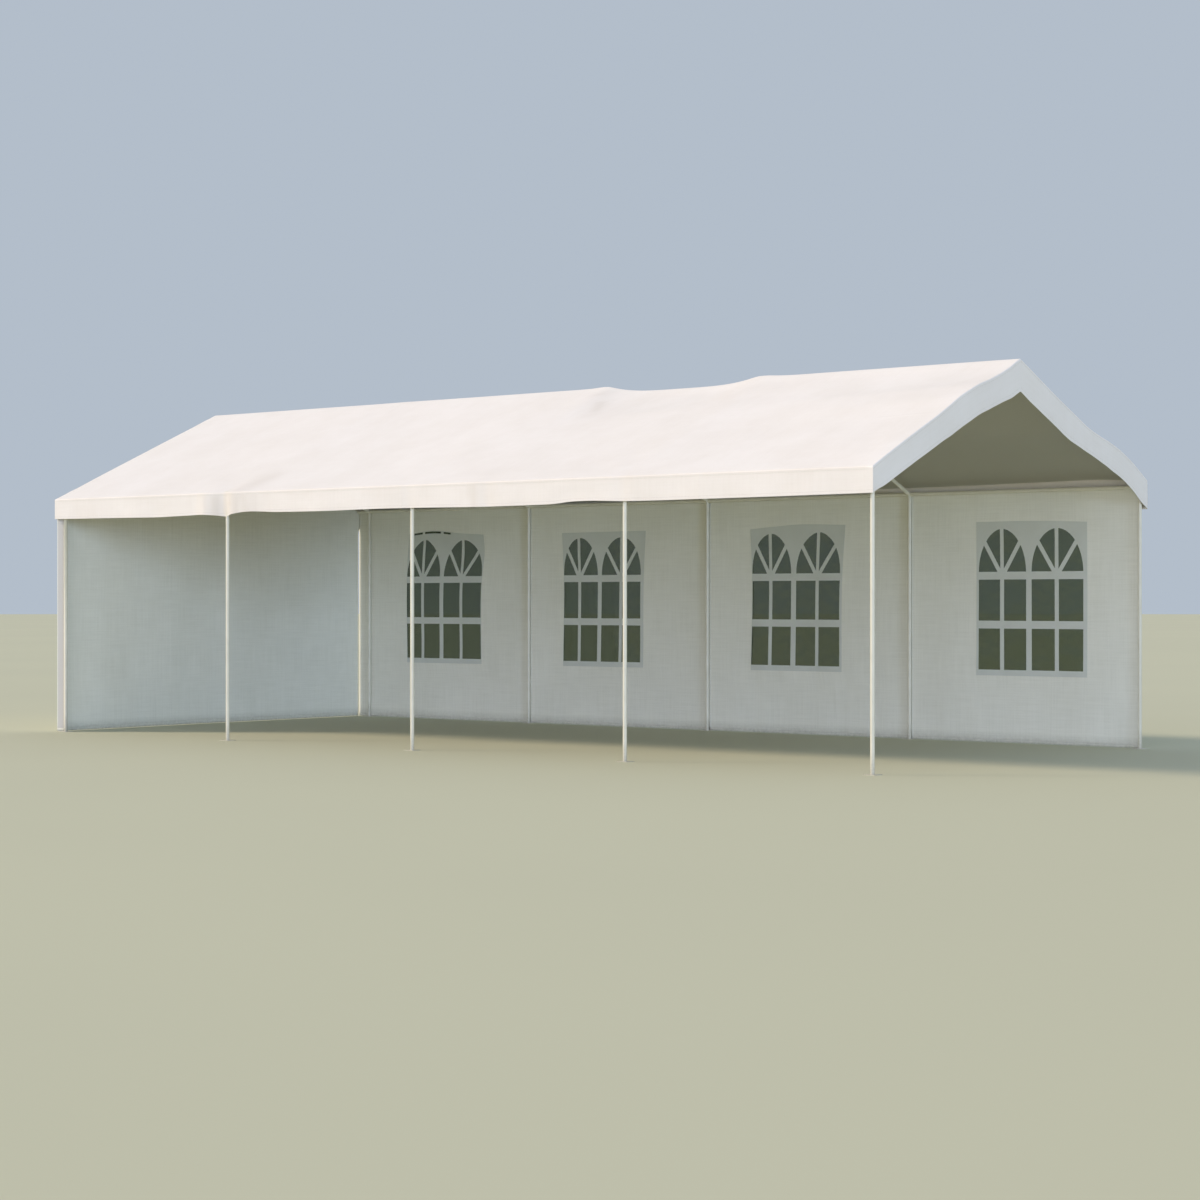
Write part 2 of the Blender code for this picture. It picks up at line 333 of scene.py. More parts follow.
@dataclass(frozen=True)
class PowderCoat:
    """White polyester powder coat on steel tube: satin, with a faint orange peel and some grime low down.

    Attributes:
        name: The material's name.
        colour: The coat's colour.
        worn: The colour of its duller patches.
        grime: The colour of the dirt near the ground.
        roughness: Least and greatest roughness, as patches differ.
        patches: How many patches lie in a metre.
        spots: How many spots of dirt lie in a metre.
        peel_mm: Distance between the bumps of the orange peel.
        peel_depth_mm: Their depth.
        grime_height: How high the dirt reaches.
        grime_most: How thick it is at the ground, up to 1.
    """

    name: str = "white_powder_coated_steel"
    colour: str = "F5F1E0"
    worn: str = "DEDAC8"
    grime: str = "8D8A78"
    roughness: tuple[float, float] = (0.32, 0.46)
    patches: float = 9.0
    spots: float = 60.0
    peel_mm: float = 2.5
    peel_depth_mm: float = 0.1
    grime_height: float = 0.16
    grime_most: float = 0.85

    def material(self) -> bpy.types.Material:
        """Build the material.

        Returns:
            The material.
        """
        made, tree, shader = new_material(self.name)
        place = add_node(tree, "ShaderNodeTexCoord").outputs["Object"]
        patches = add_node(tree, "ShaderNodeTexNoise", {
            "Vector": place, "Scale": self.patches, "Detail": 4.0})
        coat = add_node(tree, "ShaderNodeMix", {
            0: patches.outputs["Fac"], 6: linear(self.colour), 7: linear(self.worn)}, data_type="RGBA")
        coat.clamp_factor = True
        height = add_node(tree, "ShaderNodeSeparateXYZ", {0: place}).outputs["Z"]
        low = add_node(tree, "ShaderNodeMapRange", {
            "Value": height, "From Min": self.grime_height, "From Max": 0.0, "To Max": self.grime_most})
        splash = add_node(tree, "ShaderNodeTexNoise", {"Vector": place, "Scale": self.spots, "Detail": 6.0})
        dirt = add_node(tree, "ShaderNodeMath", {
            0: low.outputs["Result"], 1: splash.outputs["Fac"]}, operation="MULTIPLY")
        colour = add_node(tree, "ShaderNodeMix", {
            0: dirt.outputs[0], 6: coat.outputs[2], 7: linear(self.grime)}, data_type="RGBA")
        gloss = add_node(tree, "ShaderNodeMapRange", {
            "Value": patches.outputs["Fac"], "To Min": self.roughness[0], "To Max": self.roughness[1]})
        peel = add_node(tree, "ShaderNodeTexNoise", {
            "Vector": place, "Scale": 1.0 / (self.peel_mm * MM), "Detail": 2.0})
        bump = add_node(tree, "ShaderNodeBump", {
            "Height": peel.outputs["Fac"], "Strength": 0.25, "Distance": self.peel_depth_mm * MM})
        feed(shader, {
            "Base Color": colour.outputs[2], "Roughness": gloss.outputs["Result"],
            "Normal": bump.outputs["Normal"]})
        return made


@dataclass(frozen=True)
class WovenSheet:
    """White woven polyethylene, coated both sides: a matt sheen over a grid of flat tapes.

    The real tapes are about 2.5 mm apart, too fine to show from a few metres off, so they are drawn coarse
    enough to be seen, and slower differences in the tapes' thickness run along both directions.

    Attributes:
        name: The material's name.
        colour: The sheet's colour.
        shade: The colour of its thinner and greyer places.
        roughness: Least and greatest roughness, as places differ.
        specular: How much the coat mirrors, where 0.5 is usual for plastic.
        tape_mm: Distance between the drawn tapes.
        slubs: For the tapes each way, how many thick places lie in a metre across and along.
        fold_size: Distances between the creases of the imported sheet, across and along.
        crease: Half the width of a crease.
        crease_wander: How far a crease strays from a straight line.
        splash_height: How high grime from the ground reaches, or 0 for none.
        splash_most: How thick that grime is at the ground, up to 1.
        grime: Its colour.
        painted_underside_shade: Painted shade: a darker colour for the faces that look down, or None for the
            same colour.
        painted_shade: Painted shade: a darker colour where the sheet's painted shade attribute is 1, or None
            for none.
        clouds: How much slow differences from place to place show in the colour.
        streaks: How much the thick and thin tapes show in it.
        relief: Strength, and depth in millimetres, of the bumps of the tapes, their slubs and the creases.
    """

    name: str
    colour: str
    shade: str
    roughness: tuple[float, float] = (0.46, 0.62)
    specular: float = 0.35
    tape_mm: float = 7.0
    slubs: tuple[tuple[float, float], ...] = ((3.0, 90.0), (70.0, 2.4))
    fold_size: tuple[float, float] = (0.77, 0.62)
    crease: float = 0.018
    crease_wander: float = 0.03
    splash_height: float = 0.0
    splash_most: float = 0.8
    grime: str = "8F8D7C"
    painted_underside_shade: str | None = None
    painted_shade: str | None = None
    clouds: float = 0.80
    streaks: float = 0.30
    relief: tuple[tuple[float, float], ...] = ((0.35, 0.25), (0.3, 0.8), (0.7, 2.4))

    def material(self) -> bpy.types.Material:
        """Build the material on the sheet's flat map, whose units are metres.

        Returns:
            The material.
        """
        made, tree, shader = new_material(self.name)
        flat = add_node(tree, "ShaderNodeUVMap", uv_map=FLAT_MAP).outputs["UV"]
        weave, slubs = [], []
        for direction, (across, along) in zip(("X", "Y"), self.slubs):
            weave.append(add_node(tree, "ShaderNodeTexWave", {
                "Vector": flat, "Scale": WAVE_BAND / (self.tape_mm * MM), "Distortion": 0.6, "Detail": 1.0,
                "Detail Scale": 0.4}, wave_type="BANDS", bands_direction=direction).outputs["Fac"])
            scaled = add_node(
                tree, "ShaderNodeVectorMath", {0: flat, 1: (across, along, 1.0)}, operation="MULTIPLY")
            slubs.append(add_node(tree, "ShaderNodeTexNoise", {
                "Vector": scaled.outputs[0], "Scale": 1.0, "Detail": 3.0}).outputs["Fac"])
        grid = add_node(tree, "ShaderNodeMath", {0: weave[0], 1: weave[1]}, operation="MAXIMUM").outputs[0]
        slub = add_node(tree, "ShaderNodeMath", {0: slubs[0], 1: slubs[1]}, operation="ADD").outputs[0]
        clouds = add_node(tree, "ShaderNodeTexNoise", {
            "Vector": flat, "Scale": 1.3, "Detail": 6.0, "Roughness": 0.66})
        tone = add_node(tree, "ShaderNodeMapRange", {
            "Value": clouds.outputs["Fac"], "From Min": 0.35, "From Max": 0.75, "To Max": self.clouds})
        fine = add_node(tree, "ShaderNodeMapRange", {
            "Value": slub, "From Min": 0.8, "From Max": 1.35, "To Max": self.streaks})
        wear = add_node(tree, "ShaderNodeMath", {
            0: tone.outputs["Result"], 1: fine.outputs["Result"]}, operation="ADD", use_clamp=True)
        colour = add_node(tree, "ShaderNodeMix", {
            0: wear.outputs[0], 6: linear(self.colour), 7: linear(self.shade)}, data_type="RGBA").outputs[2]
        if self.splash_height:
            colour = self.splashed(tree, colour)
        # Painted shade: darker where the sheet's painted shade attribute says so
        if self.painted_shade:
            amount = add_node(tree, "ShaderNodeAttribute", attribute_name=PAINTED_SHADE_MAP).outputs["Fac"]
            colour = add_node(tree, "ShaderNodeMix", {
                0: amount, 6: colour, 7: linear(self.painted_shade)}, data_type="RGBA").outputs[2]
        # Painted shade: the faces that look down are darker
        if self.painted_underside_shade:
            facing = add_node(tree, "ShaderNodeNewGeometry").outputs["True Normal"]
            down = add_node(tree, "ShaderNodeMapRange", {
                "Value": add_node(tree, "ShaderNodeSeparateXYZ", {0: facing}).outputs["Z"],
                "From Min": -0.2, "From Max": -0.5}).outputs["Result"]
            colour = add_node(tree, "ShaderNodeMix", {
                0: down, 6: colour, 7: linear(self.painted_underside_shade)}, data_type="RGBA").outputs[2]
        gloss = add_node(tree, "ShaderNodeMapRange", {
            "Value": clouds.outputs["Fac"], "To Min": self.roughness[0], "To Max": self.roughness[1]})
        under = {}
        for height, (strength, depth_mm) in zip((grid, slub, self.creases(tree, flat)), self.relief):
            bump = add_node(tree, "ShaderNodeBump", {
                "Height": height, "Strength": strength, "Distance": depth_mm * MM, **under})
            under = {"Normal": bump.outputs["Normal"]}
        feed(shader, {
            "Base Color": colour, "Roughness": gloss.outputs["Result"],
            "Specular IOR Level": self.specular, **under})
        return made

    def creases(self, tree: bpy.types.NodeTree, flat: bpy.types.NodeSocket) -> bpy.types.NodeSocket:
        """Draw the grid of sharp folds that a packed sheet keeps.

        Args:
            tree: The material's tree.
            flat: The sheet's flat coordinates.

        Returns:
            A height from 0 to 1, with narrow ridges along the folds.
        """
        wander = add_node(tree, "ShaderNodeTexNoise", {"Vector": flat, "Scale": 1.1, "Detail": 2.0})
        bent = add_node(tree, "ShaderNodeVectorMath", {
            0: wander.outputs["Color"], 1: (self.crease_wander, self.crease_wander, 0.0), 2: flat},
            operation="MULTIPLY_ADD")
        axes = add_node(tree, "ShaderNodeSeparateXYZ", {0: bent.outputs[0]})
        lines = []
        for axis, size in zip(("X", "Y"), self.fold_size):
            share = add_node(tree, "ShaderNodeMath", {0: axes.outputs[axis], 1: size}, operation="PINGPONG")
            lines.append(add_node(tree, "ShaderNodeMapRange", {
                "Value": share.outputs[0], "From Min": self.crease, "From Max": 0.0}).outputs["Result"])
        both = add_node(tree, "ShaderNodeMath", {0: lines[0], 1: lines[1]}, operation="MAXIMUM")
        faded = add_node(tree, "ShaderNodeTexNoise", {"Vector": flat, "Scale": 2.2, "Detail": 1.0})
        return add_node(tree, "ShaderNodeMath", {
            0: both.outputs[0], 1: faded.outputs["Fac"]}, operation="MULTIPLY").outputs[0]

    def splashed(self, tree: bpy.types.NodeTree, colour: bpy.types.NodeSocket) -> bpy.types.NodeSocket:
        """Add the grime that rain throws up from the ground.

        Args:
            tree: The material's tree.
            colour: The clean colour.

        Returns:
            The colour with grime over its lowest part.
        """
        place = add_node(tree, "ShaderNodeTexCoord").outputs["Object"]
        height = add_node(tree, "ShaderNodeSeparateXYZ", {0: place}).outputs["Z"]
        low = add_node(tree, "ShaderNodeMapRange", {
            "Value": height, "From Min": self.splash_height, "From Max": 0.0, "To Max": self.splash_most})
        spots = add_node(tree, "ShaderNodeTexNoise", {
            "Vector": place, "Scale": 35.0, "Detail": 8.0, "Roughness": 0.7})
        amount = add_node(tree, "ShaderNodeMath", {
            0: low.outputs["Result"], 1: spots.outputs["Fac"]}, operation="MULTIPLY")
        return add_node(tree, "ShaderNodeMix", {
            0: amount.outputs[0], 6: colour, 7: linear(self.grime)}, data_type="RGBA").outputs[2]


@dataclass(frozen=True)
class ClearVinyl:
    """Soft clear vinyl sheet: glossy, with slow ripples from the heat-welded edges, and painted shade: a dark
    green tint that stands in for the dim scene behind it.

    Attributes:
        name: The material's name.
        colour: The sheet's tint, painted shade that stands in for the dim scene behind it.
        haze: The tint of its cloudier places.
        alpha: How much of the tint covers what is behind.
        roughness: Roughness of its polished faces.
        ior: The usual index of refraction of soft PVC.
        clouds: How many cloudy places lie in a metre.
        ripple_size: Length of a ripple.
        ripple_depth_mm: Its depth.
    """

    name: str = "soft_clear_vinyl"
    colour: str = "4A5834"
    haze: str = "586444"
    alpha: float = 0.79
    roughness: float = 0.12
    ior: float = 1.53
    clouds: float = 7.0
    ripple_size: float = 0.16
    ripple_depth_mm: float = 12.0

    def material(self) -> bpy.types.Material:
        """Build the material.

        Returns:
            The material.
        """
        made, tree, shader = new_material(self.name)
        flat = add_node(tree, "ShaderNodeUVMap", uv_map=FLAT_MAP).outputs["UV"]
        haze = add_node(tree, "ShaderNodeTexNoise", {"Vector": flat, "Scale": self.clouds, "Detail": 5.0})
        colour = add_node(tree, "ShaderNodeMix", {
            0: haze.outputs["Fac"], 6: linear(self.colour), 7: linear(self.haze)}, data_type="RGBA")
        ripples = add_node(tree, "ShaderNodeTexNoise", {
            "Vector": flat, "Scale": 1.0 / self.ripple_size, "Detail": 1.5})
        bump = add_node(tree, "ShaderNodeBump", {
            "Height": ripples.outputs["Fac"], "Strength": 0.4, "Distance": self.ripple_depth_mm * MM})
        feed(shader, {
            "Base Color": colour.outputs[2], "Alpha": self.alpha, "Roughness": self.roughness,
            "IOR": self.ior, "Normal": bump.outputs["Normal"]})
        return made


@dataclass(frozen=True)
class PrintedVinyl:
    """White ink on soft vinyl: an even, cool white with a low sheen and fine pinholes.

    Attributes:
        name: The material's name.
        colour: The ink's colour.
        thin: Its colour where it is thinner.
        roughness: Its roughness.
        grain_mm: Distance between the pinholes.
        grain_depth_mm: Their depth.
    """

    name: str = "white_printed_vinyl"
    colour: str = "DFE2DA"
    thin: str = "D2D5CC"
    roughness: float = 0.38
    grain_mm: float = 2.5
    grain_depth_mm: float = 0.1

    def material(self) -> bpy.types.Material:
        """Build the material.

        Returns:
            The material.
        """
        made, tree, shader = new_material(self.name)
        flat = add_node(tree, "ShaderNodeUVMap", uv_map=FLAT_MAP).outputs["UV"]
        ink = add_node(tree, "ShaderNodeTexNoise", {"Vector": flat, "Scale": 5.0, "Detail": 6.0})
        colour = add_node(tree, "ShaderNodeMix", {
            0: ink.outputs["Fac"], 6: linear(self.colour), 7: linear(self.thin)}, data_type="RGBA")
        grain = add_node(tree, "ShaderNodeTexNoise", {
            "Vector": flat, "Scale": 1.0 / (self.grain_mm * MM), "Detail": 2.0})
        bump = add_node(tree, "ShaderNodeBump", {
            "Height": grain.outputs["Fac"], "Strength": 0.15, "Distance": self.grain_depth_mm * MM})
        feed(shader, {
            "Base Color": colour.outputs[2], "Roughness": self.roughness, "Normal": bump.outputs["Normal"]})
        return made


@dataclass(frozen=True)
class SewingThread:
    """Bonded polyester thread: white, slightly glossy, with a twist too fine to draw.

    Attributes:
        name: The material's name.
        colour: The thread's colour.
        soiled: Its colour where it has picked up dirt.
        roughness: Its roughness.
        stains: How many soiled stretches lie in a metre.
    """

    name: str = "white_polyester_thread"
    colour: str = "D9D5CC"
    soiled: str = "BDB8AB"
    roughness: float = 0.5
    stains: float = 14.0

    def material(self) -> bpy.types.Material:
        """Build the material.

        Returns:
            The material.
        """
        made, tree, shader = new_material(self.name)
        place = add_node(tree, "ShaderNodeTexCoord").outputs["Object"]
        soil = add_node(tree, "ShaderNodeTexNoise", {"Vector": place, "Scale": self.stains, "Detail": 3.0})
        colour = add_node(tree, "ShaderNodeMix", {
            0: soil.outputs["Fac"], 6: linear(self.colour), 7: linear(self.soiled)}, data_type="RGBA")
        feed(shader, {"Base Color": colour.outputs[2], "Roughness": self.roughness})
        return made


# Cloth


@dataclass
class Patch:
    """A grid of cloth, laid out flat in metres and put in place by a function.

    Attributes:
        across: First flat coordinate of the grid's lines.
        along: Second flat coordinate of the grid's lines.
        place: Gives the points of the flat coordinates.
        flat: Gives the sheet's own flat map, or None where the coordinates are that map.
        hole: True where a face, given by its middle, is left out, or None.
    """

    across: np.ndarray
    along: np.ndarray
    place: Place
    flat: Place | None = None
    hole: Callable[[np.ndarray, np.ndarray], np.ndarray] | None = None

    def mesh(self, name: str) -> bpy.types.Mesh:
        """Build the grid.

        Args:
            name: The mesh's name.

        Returns:
            A mesh of four-sided faces with its flat map.
        """
        a, b = np.meshgrid(self.across, self.along, indexing="ij")
        points = self.place(a, b).reshape(-1, 3)
        index = np.arange(a.size).reshape(a.shape)
        quads = np.stack([index[:-1, :-1], index[1:, :-1], index[1:, 1:], index[:-1, 1:]], axis=-1)
        if self.hole:
            middle_a = (a[:-1, :-1] + a[1:, 1:]) / 2
            middle_b = (b[:-1, :-1] + b[1:, 1:]) / 2
            quads = quads[~self.hole(middle_a, middle_b)]
        quads = quads.reshape(-1, 4)
        made = bpy.data.meshes.new(name)
        made.from_pydata(points.tolist(), [], quads.tolist())
        flat = np.stack([a, b], axis=-1) if self.flat is None else self.flat(a, b)
        layer = made.uv_layers.new(name=FLAT_MAP)
        layer.data.foreach_set("uv", flat.reshape(-1, 2)[quads.ravel()].astype(np.float32).ravel())
        return made


def smooth(mesh: bpy.types.Mesh, sharp_degrees: float = 40.0) -> None:
    """Shade a mesh smooth and keep its sharp edges."""
    mesh.shade_smooth()
    mesh.set_sharp_from_angle(angle=math.radians(sharp_degrees))


def join(name: str, patches: Iterable[Patch], sewn: bool = True, turned: bool = False) -> bpy.types.Mesh:
    """Join patches into one sheet and shade it smooth.

    Args:
        name: The new mesh's name.
        patches: The patches.
        sewn: Whether the patches' edges are sewn together where they meet.
        turned: Whether all faces are turned the same way, away from the tent's middle.

    Returns:
        The joined mesh, without loose points.
    """
    bm = bmesh.new()
    for patch in patches:
        mesh = patch.mesh("patch")
        bm.from_mesh(mesh)
        bpy.data.meshes.remove(mesh)
    if sewn:
        bmesh.ops.remove_doubles(bm, verts=bm.verts, dist=WELD)
    bmesh.ops.delete(bm, geom=[v for v in bm.verts if not v.link_faces], context="VERTS")
    if turned:
        bmesh.ops.recalc_face_normals(bm, faces=bm.faces)
        if sum(f.normal.dot(f.calc_center_median() - MIDDLE) * f.calc_area() for f in bm.faces) < 0:
            bmesh.ops.reverse_faces(bm, faces=bm.faces)
    made = bpy.data.meshes.new(name)
    bm.to_mesh(made)
    bm.free()
    smooth(made)
    return made


def add_piece(name: str, mesh: bpy.types.Mesh, material: bpy.types.Material, slot: Slot,
              thickness: float = 0.0, offset: float = 0.0) -> bpy.types.Object:
    """Link a mesh as a piece of the marquee, riding on its one body.

    Args:
        name: The piece's name.
        mesh: Its mesh, in place.
        material: Its finish.
        slot: Not used.
        thickness: How thick an open sheet becomes, or 0 for a closed mesh.
        offset: -1 to grow inwards from the mesh, 0 to grow both ways.

    Returns:
        The new object, at the origin.
    """
    mesh.name = name
    mesh.materials.clear()
    mesh.materials.append(material)
    made = bpy.data.objects.new(name, mesh)
    bpy.context.scene.collection.objects.link(made)
    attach(made, "root")
    if thickness:
        thicken(made, thickness, offset)
    LOG.info("%s: %d faces", name, len(mesh.polygons))
    return made


def thicken(piece: bpy.types.Object, thickness: float, offset: float) -> None:
    """Give a sheet its thickness.

    Args:
        piece: The sheet.
        thickness: How thick it is.
        offset: -1 to grow inwards from the mesh, 0 to grow both ways.
    """
    wall = piece.modifiers.new("Thickness", "SOLIDIFY")
    wall.thickness = thickness
    wall.offset = offset
    wall.use_even_offset = True


def lay_painted_shade(mesh: bpy.types.Mesh, amount: Callable[[np.ndarray], np.ndarray]) -> None:
    """Store how much painted shade darkens each point of a sheet.

    Args:
        mesh: The sheet's mesh.
        amount: How much painted shade darkens the sheet, from 0 to 1, at places on its flat map.
    """
    corners = np.empty(len(mesh.loops), dtype=np.int32)
    mesh.loops.foreach_get("vertex_index", corners)
    flat = np.empty(len(mesh.loops) * 2, dtype=np.float32)
    mesh.uv_layers[FLAT_MAP].data.foreach_get("uv", flat)
    places = np.zeros((len(mesh.vertices), 2))
    places[corners] = flat.reshape(-1, 2)
    layer = mesh.attributes.new(PAINTED_SHADE_MAP, "FLOAT", "POINT")
    layer.data.foreach_set("value", amount(places).astype(np.float32))


# Painted shade: darker lines in the folds of the ridge's dent, in the folds of the front valance, and along
# both eave bends: a line's two ends on the flat cloth, its width and strength
PAINTED_SHADE_LINES = (
    ((0.524, -0.19), (0.572, -0.13), 0.050, 0.40),
    ((0.675, -0.33), (0.765, -0.52), 0.055, 0.55),
    ((0.600, -0.15), (0.800, -0.62), 0.110, 0.20),
    ((-2.290, -2.29), (-2.285, -2.45), 0.060, 0.62),
    ((-2.395, -2.27), (-2.385, -2.45), 0.040, 0.30),
    ((-2.020, -2.26), (-2.000, -2.44), 0.045, 0.45),
    ((-1.900, -2.28), (-1.880, -2.44), 0.040, 0.35),
    ((-1.800, -2.28), (-1.790, -2.42), 0.045, 0.25),
    ((-1.930, -1.90), (-2.000, -2.26), 0.125, 0.34),
    ((0.780, -2.26), (0.800, -2.45), 0.050, 0.30),
    ((-4.55, -2.2385), (4.55, -2.2385), 0.012, 0.32),
    ((-4.55, 2.2385), (4.55, 2.2385), 0.012, 0.32))

# The folds where the second front post gathers the eave: place from the post, width, and how far out
PINCH = ((-0.235, 0.085, 0.020), (-0.01, 0.060, -0.024), (0.125, 0.070, 0.018), (0.26, 0.11, 0.010))

# How far each post's tie draws the eave in, from the closed end to the open one
TIES = {Side.FRONT: (0.0, 0.0, 0.006, 0.007, 0.0), Side.BACK: (0.0, 0.006, 0.008, 0.005, 0.0)}

# A short nick in the front eave, right of the third post: place from the post, width, and how far in
NICK = (0.86, 0.05, 0.008)

# The small crests at the dent's two ends: place from its middle, width and height
CRESTS = ((-0.84, 0.11, 0.009), (0.88, 0.13, 0.009))

# Distances of the cover's bends from its edge, where it turns down, and from the ridge, which it turns over
BENDS = (0.0015, 0.0035, 0.006, 0.010, 0.020)
RIDGE_BENDS = (0.006, 0.015)


@dataclass
class RoofForm:
    """The cover's form: taut over tubes, dented over a bent ridge pole, and bellied towards the open gable.

    Attributes:
        skeleton: The frame's places.
        left: The cover's left edge.
        right: The cover's right edge.
        edge_y: Distance of the eave edges from the middle.
        sag_depth: How far the bent ridge pole has dropped.
        clearance: Height of the cover's outer face over what it rests on.
        sag_middle: Middle of the dent, as a share of the third bay.
        sag_reach: Half of the dent's length, as a share of the bay.
        sag_slope: How far the dent reaches down the slopes, at its left end and at its right.
        sag_turn: Distance from the dent's middle over which that reach changes.
        sag_hollow: Depth of the hollow under the ridge that runs from the dent to the open gable in front.
        edge_round: Radius that the cloth turns down by at its edges.
        ridge_round: The same where it turns over the ridge.
        hollow: How far the cloth sinks between rafters.
        seed: Picks the pattern of the waves.
        slow_wave: The widest wrinkles of the slopes.
        short_wave: Shorter ones between them.
        eave_wave: Puckers that run up from the eave's seam.
        ridge_wave: Puckers that run down from the ridge.
        eave_reach: How far up the slope the eave's puckers run.
        ridge_reach: How far down it the ridge's run.
        star: Height of the tension folds that run out from a rafter's ends.
        star_reach: How far they run, from the eave and from the ridge.
        edge_wave: Slow waves in the line of the eave's edge.
        tie_width: Width of the dint that a tie draws in that edge.
        flare: How far the back eave is pulled out at the open gable.
        front_rise: How far the gable edge stands over a straight line, for each distance from the ridge.
        back_rise: The same on the back slope, where it stays high at the eave.
        eave_lift: How much higher the back eave stands inside the last bay than at the gable.
        left_skew: How far the front corner of the closed end lies in from a square one.
    """

    skeleton: Skeleton
    left: float
    right: float
    edge_y: float
    sag_depth: float
    clearance: float = 4.3 * MM
    sag_middle: float = 0.555
    sag_reach: float = 0.36
    sag_slope: tuple[float, float] = (0.62, 0.38)
    sag_turn: float = 0.7
    sag_hollow: float = 0.007
    edge_round: float = 10.0 * MM
    ridge_round: float = 8.0 * MM
    hollow: float = 0.012
    seed: float = 3.7
    slow_wave: Wave = Wave(0.0070, 0.85, 0.6)
    short_wave: Wave = Wave(0.0022, 0.24, 0.55, 2.6)
    eave_wave: Wave = Wave(0.0032, 0.075, 0.9, 9.1)
    ridge_wave: Wave = Wave(0.0018, 0.10, 0.8, 4.3)
    eave_reach: float = 0.28
    ridge_reach: float = 0.22
    star: float = 0.0026
    star_reach: tuple[float, float] = (0.55, 0.42)
    edge_wave: Wave = Wave(0.004, 0.6, 1.0, 21.0)
    tie_width: float = 0.05
    flare: float = 0.024
    front_rise: tuple[tuple[float, float], ...] = (
        (0.0, 0.0), (0.30, 0.003), (0.45, 0.017), (0.59, 0.034), (0.74, 0.041), (0.88, 0.044),
        (1.02, 0.034), (1.16, 0.026), (1.43, 0.022), (1.69, 0.017), (1.90, 0.009), (2.045, 0.0))
    back_rise: tuple[tuple[float, float], ...] = (
        (0.0, 0.0), (0.60, -0.005), (0.85, 0.0), (1.10, 0.008), (1.26, 0.033), (1.43, 0.064), (1.60, 0.085),
        (1.77, 0.088), (1.945, 0.068), (2.045, 0.053))
    eave_lift: float = 0.022
    left_skew: float = 0.065

    @classmethod
    def read(cls, skeleton: Skeleton) -> "RoofForm":
        """Read the cover's edges and the bent pole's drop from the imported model."""
        low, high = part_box("cover_front_slope")
        return cls(
            skeleton=skeleton, left=low.x, right=high.x, edge_y=-low.y,
            sag_depth=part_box("ridge_pole_1")[0].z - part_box("ridge_pole_3")[0].z)

    def dent(self, x: np.ndarray, y: np.ndarray) -> np.ndarray:
        """How far the cover has dropped over the bent pole, less the small crests at the dent's ends.

        Args:
            x: Place along the ridge.
            y: Place across.

        Returns:
            Height to take away.
        """
        bones = self.skeleton
        middle = bones.frame_x[2] + self.sag_middle * bones.bay
        away = np.abs(x - middle) / (self.sag_reach * bones.bay)
        along = np.clip(1.0 - away ** 4, 0.0, None) ** 1.5
        left, right = self.sag_slope
        down_slope = left + (right - left) * ease(x, middle - self.sag_turn, middle + self.sag_turn)
        crests = sum(height * hump(x, middle + place, width) for place, width, height in CRESTS)
        past = ease(x, middle - 0.35, middle - 0.05)
        hollow = self.sag_hollow * past * ease(-y, 0.02, 0.15) * ease(y, -0.68, -0.45)
        return (
            self.sag_depth * along * np.exp(-np.abs(y / down_slope) ** 2.6)
            - crests * np.exp(-np.abs(y) / 0.25) + hollow)

    def height(self, x: np.ndarray, y: np.ndarray) -> np.ndarray:
        """Height of the cover's outer face.

        Args:
            x: Place along the ridge.
            y: Place across.

        Returns:
            The height over the ground.
        """
        bones = self.skeleton
        rest = bones.ridge_z + (bones.socket_radius + self.clearance) / bones.cos_pitch
        away = np.sqrt(y * y + self.ridge_round ** 2) - 5.0 * MM
        last_bay = ease(x, bones.frame_x[-2], self.right)
        full = 0.30 + 0.45 * ease(x, bones.frame_x[1], bones.frame_x[3]) + 0.25 * last_bay
        front, back = (through(rise, np.abs(y)) for rise in (self.front_rise, self.back_rise))
        belly = np.where(y < 0, last_bay * front, full * back)
        inner = ease(-x, -self.right, -self.right + 0.5) * ease(y, 1.75, 2.0)
        belly = belly + self.eave_lift * full * inner
        level = rest - away * bones.tan_pitch - self.dent(x, y) + belly + self.relief(x, y)
        past_y = np.clip(np.abs(y) - (self.edge_y - self.edge_round), 0.0, self.edge_round)
        past_x = np.clip(np.maximum(x - self.right, self.left - x) + self.edge_round, 0.0, self.edge_round)
        past = np.maximum(past_x, past_y)
        return level - (self.edge_round - np.sqrt(self.edge_round ** 2 - past ** 2))

    def relief(self, x: np.ndarray, y: np.ndarray) -> np.ndarray:
        """Sag between the rafters, and wrinkles from the seams and the tubes' ends.

        Args:
            x: Place along the ridge.
            y: Place across.

        Returns:
            Height to add.
        """
        u = self.skeleton.share_of_bay(x)
        v = np.clip(np.abs(y) / self.skeleton.half_width, 0.0, 1.0)
        free = 4.0 * u * (1 - u) * 4.0 * v * (1 - v)
        from_eave = np.clip(self.edge_y - np.abs(y), 0.0, None)
        over_pole = ease(np.abs(np.abs(y) - self.skeleton.half_width), 0.01, 0.12)
        side = np.sign(y) * 5.0
        slow = self.slow_wave.over(x + side, y, self.seed)
        short = self.short_wave.over(x - side, y, self.seed)
        eave = self.eave_wave.over(x + side, y, self.seed) * np.exp(-from_eave / self.eave_reach)
        ridge = self.ridge_wave.over(x - side, y, self.seed) * np.exp(-np.abs(y) / self.ridge_reach)
        return (
            -self.hollow * free + (slow + short) * np.sqrt(free) + eave * over_pole
            + ridge * ease(np.abs(y), 0.0, 0.06) + self.pulls(x, y) * over_pole)

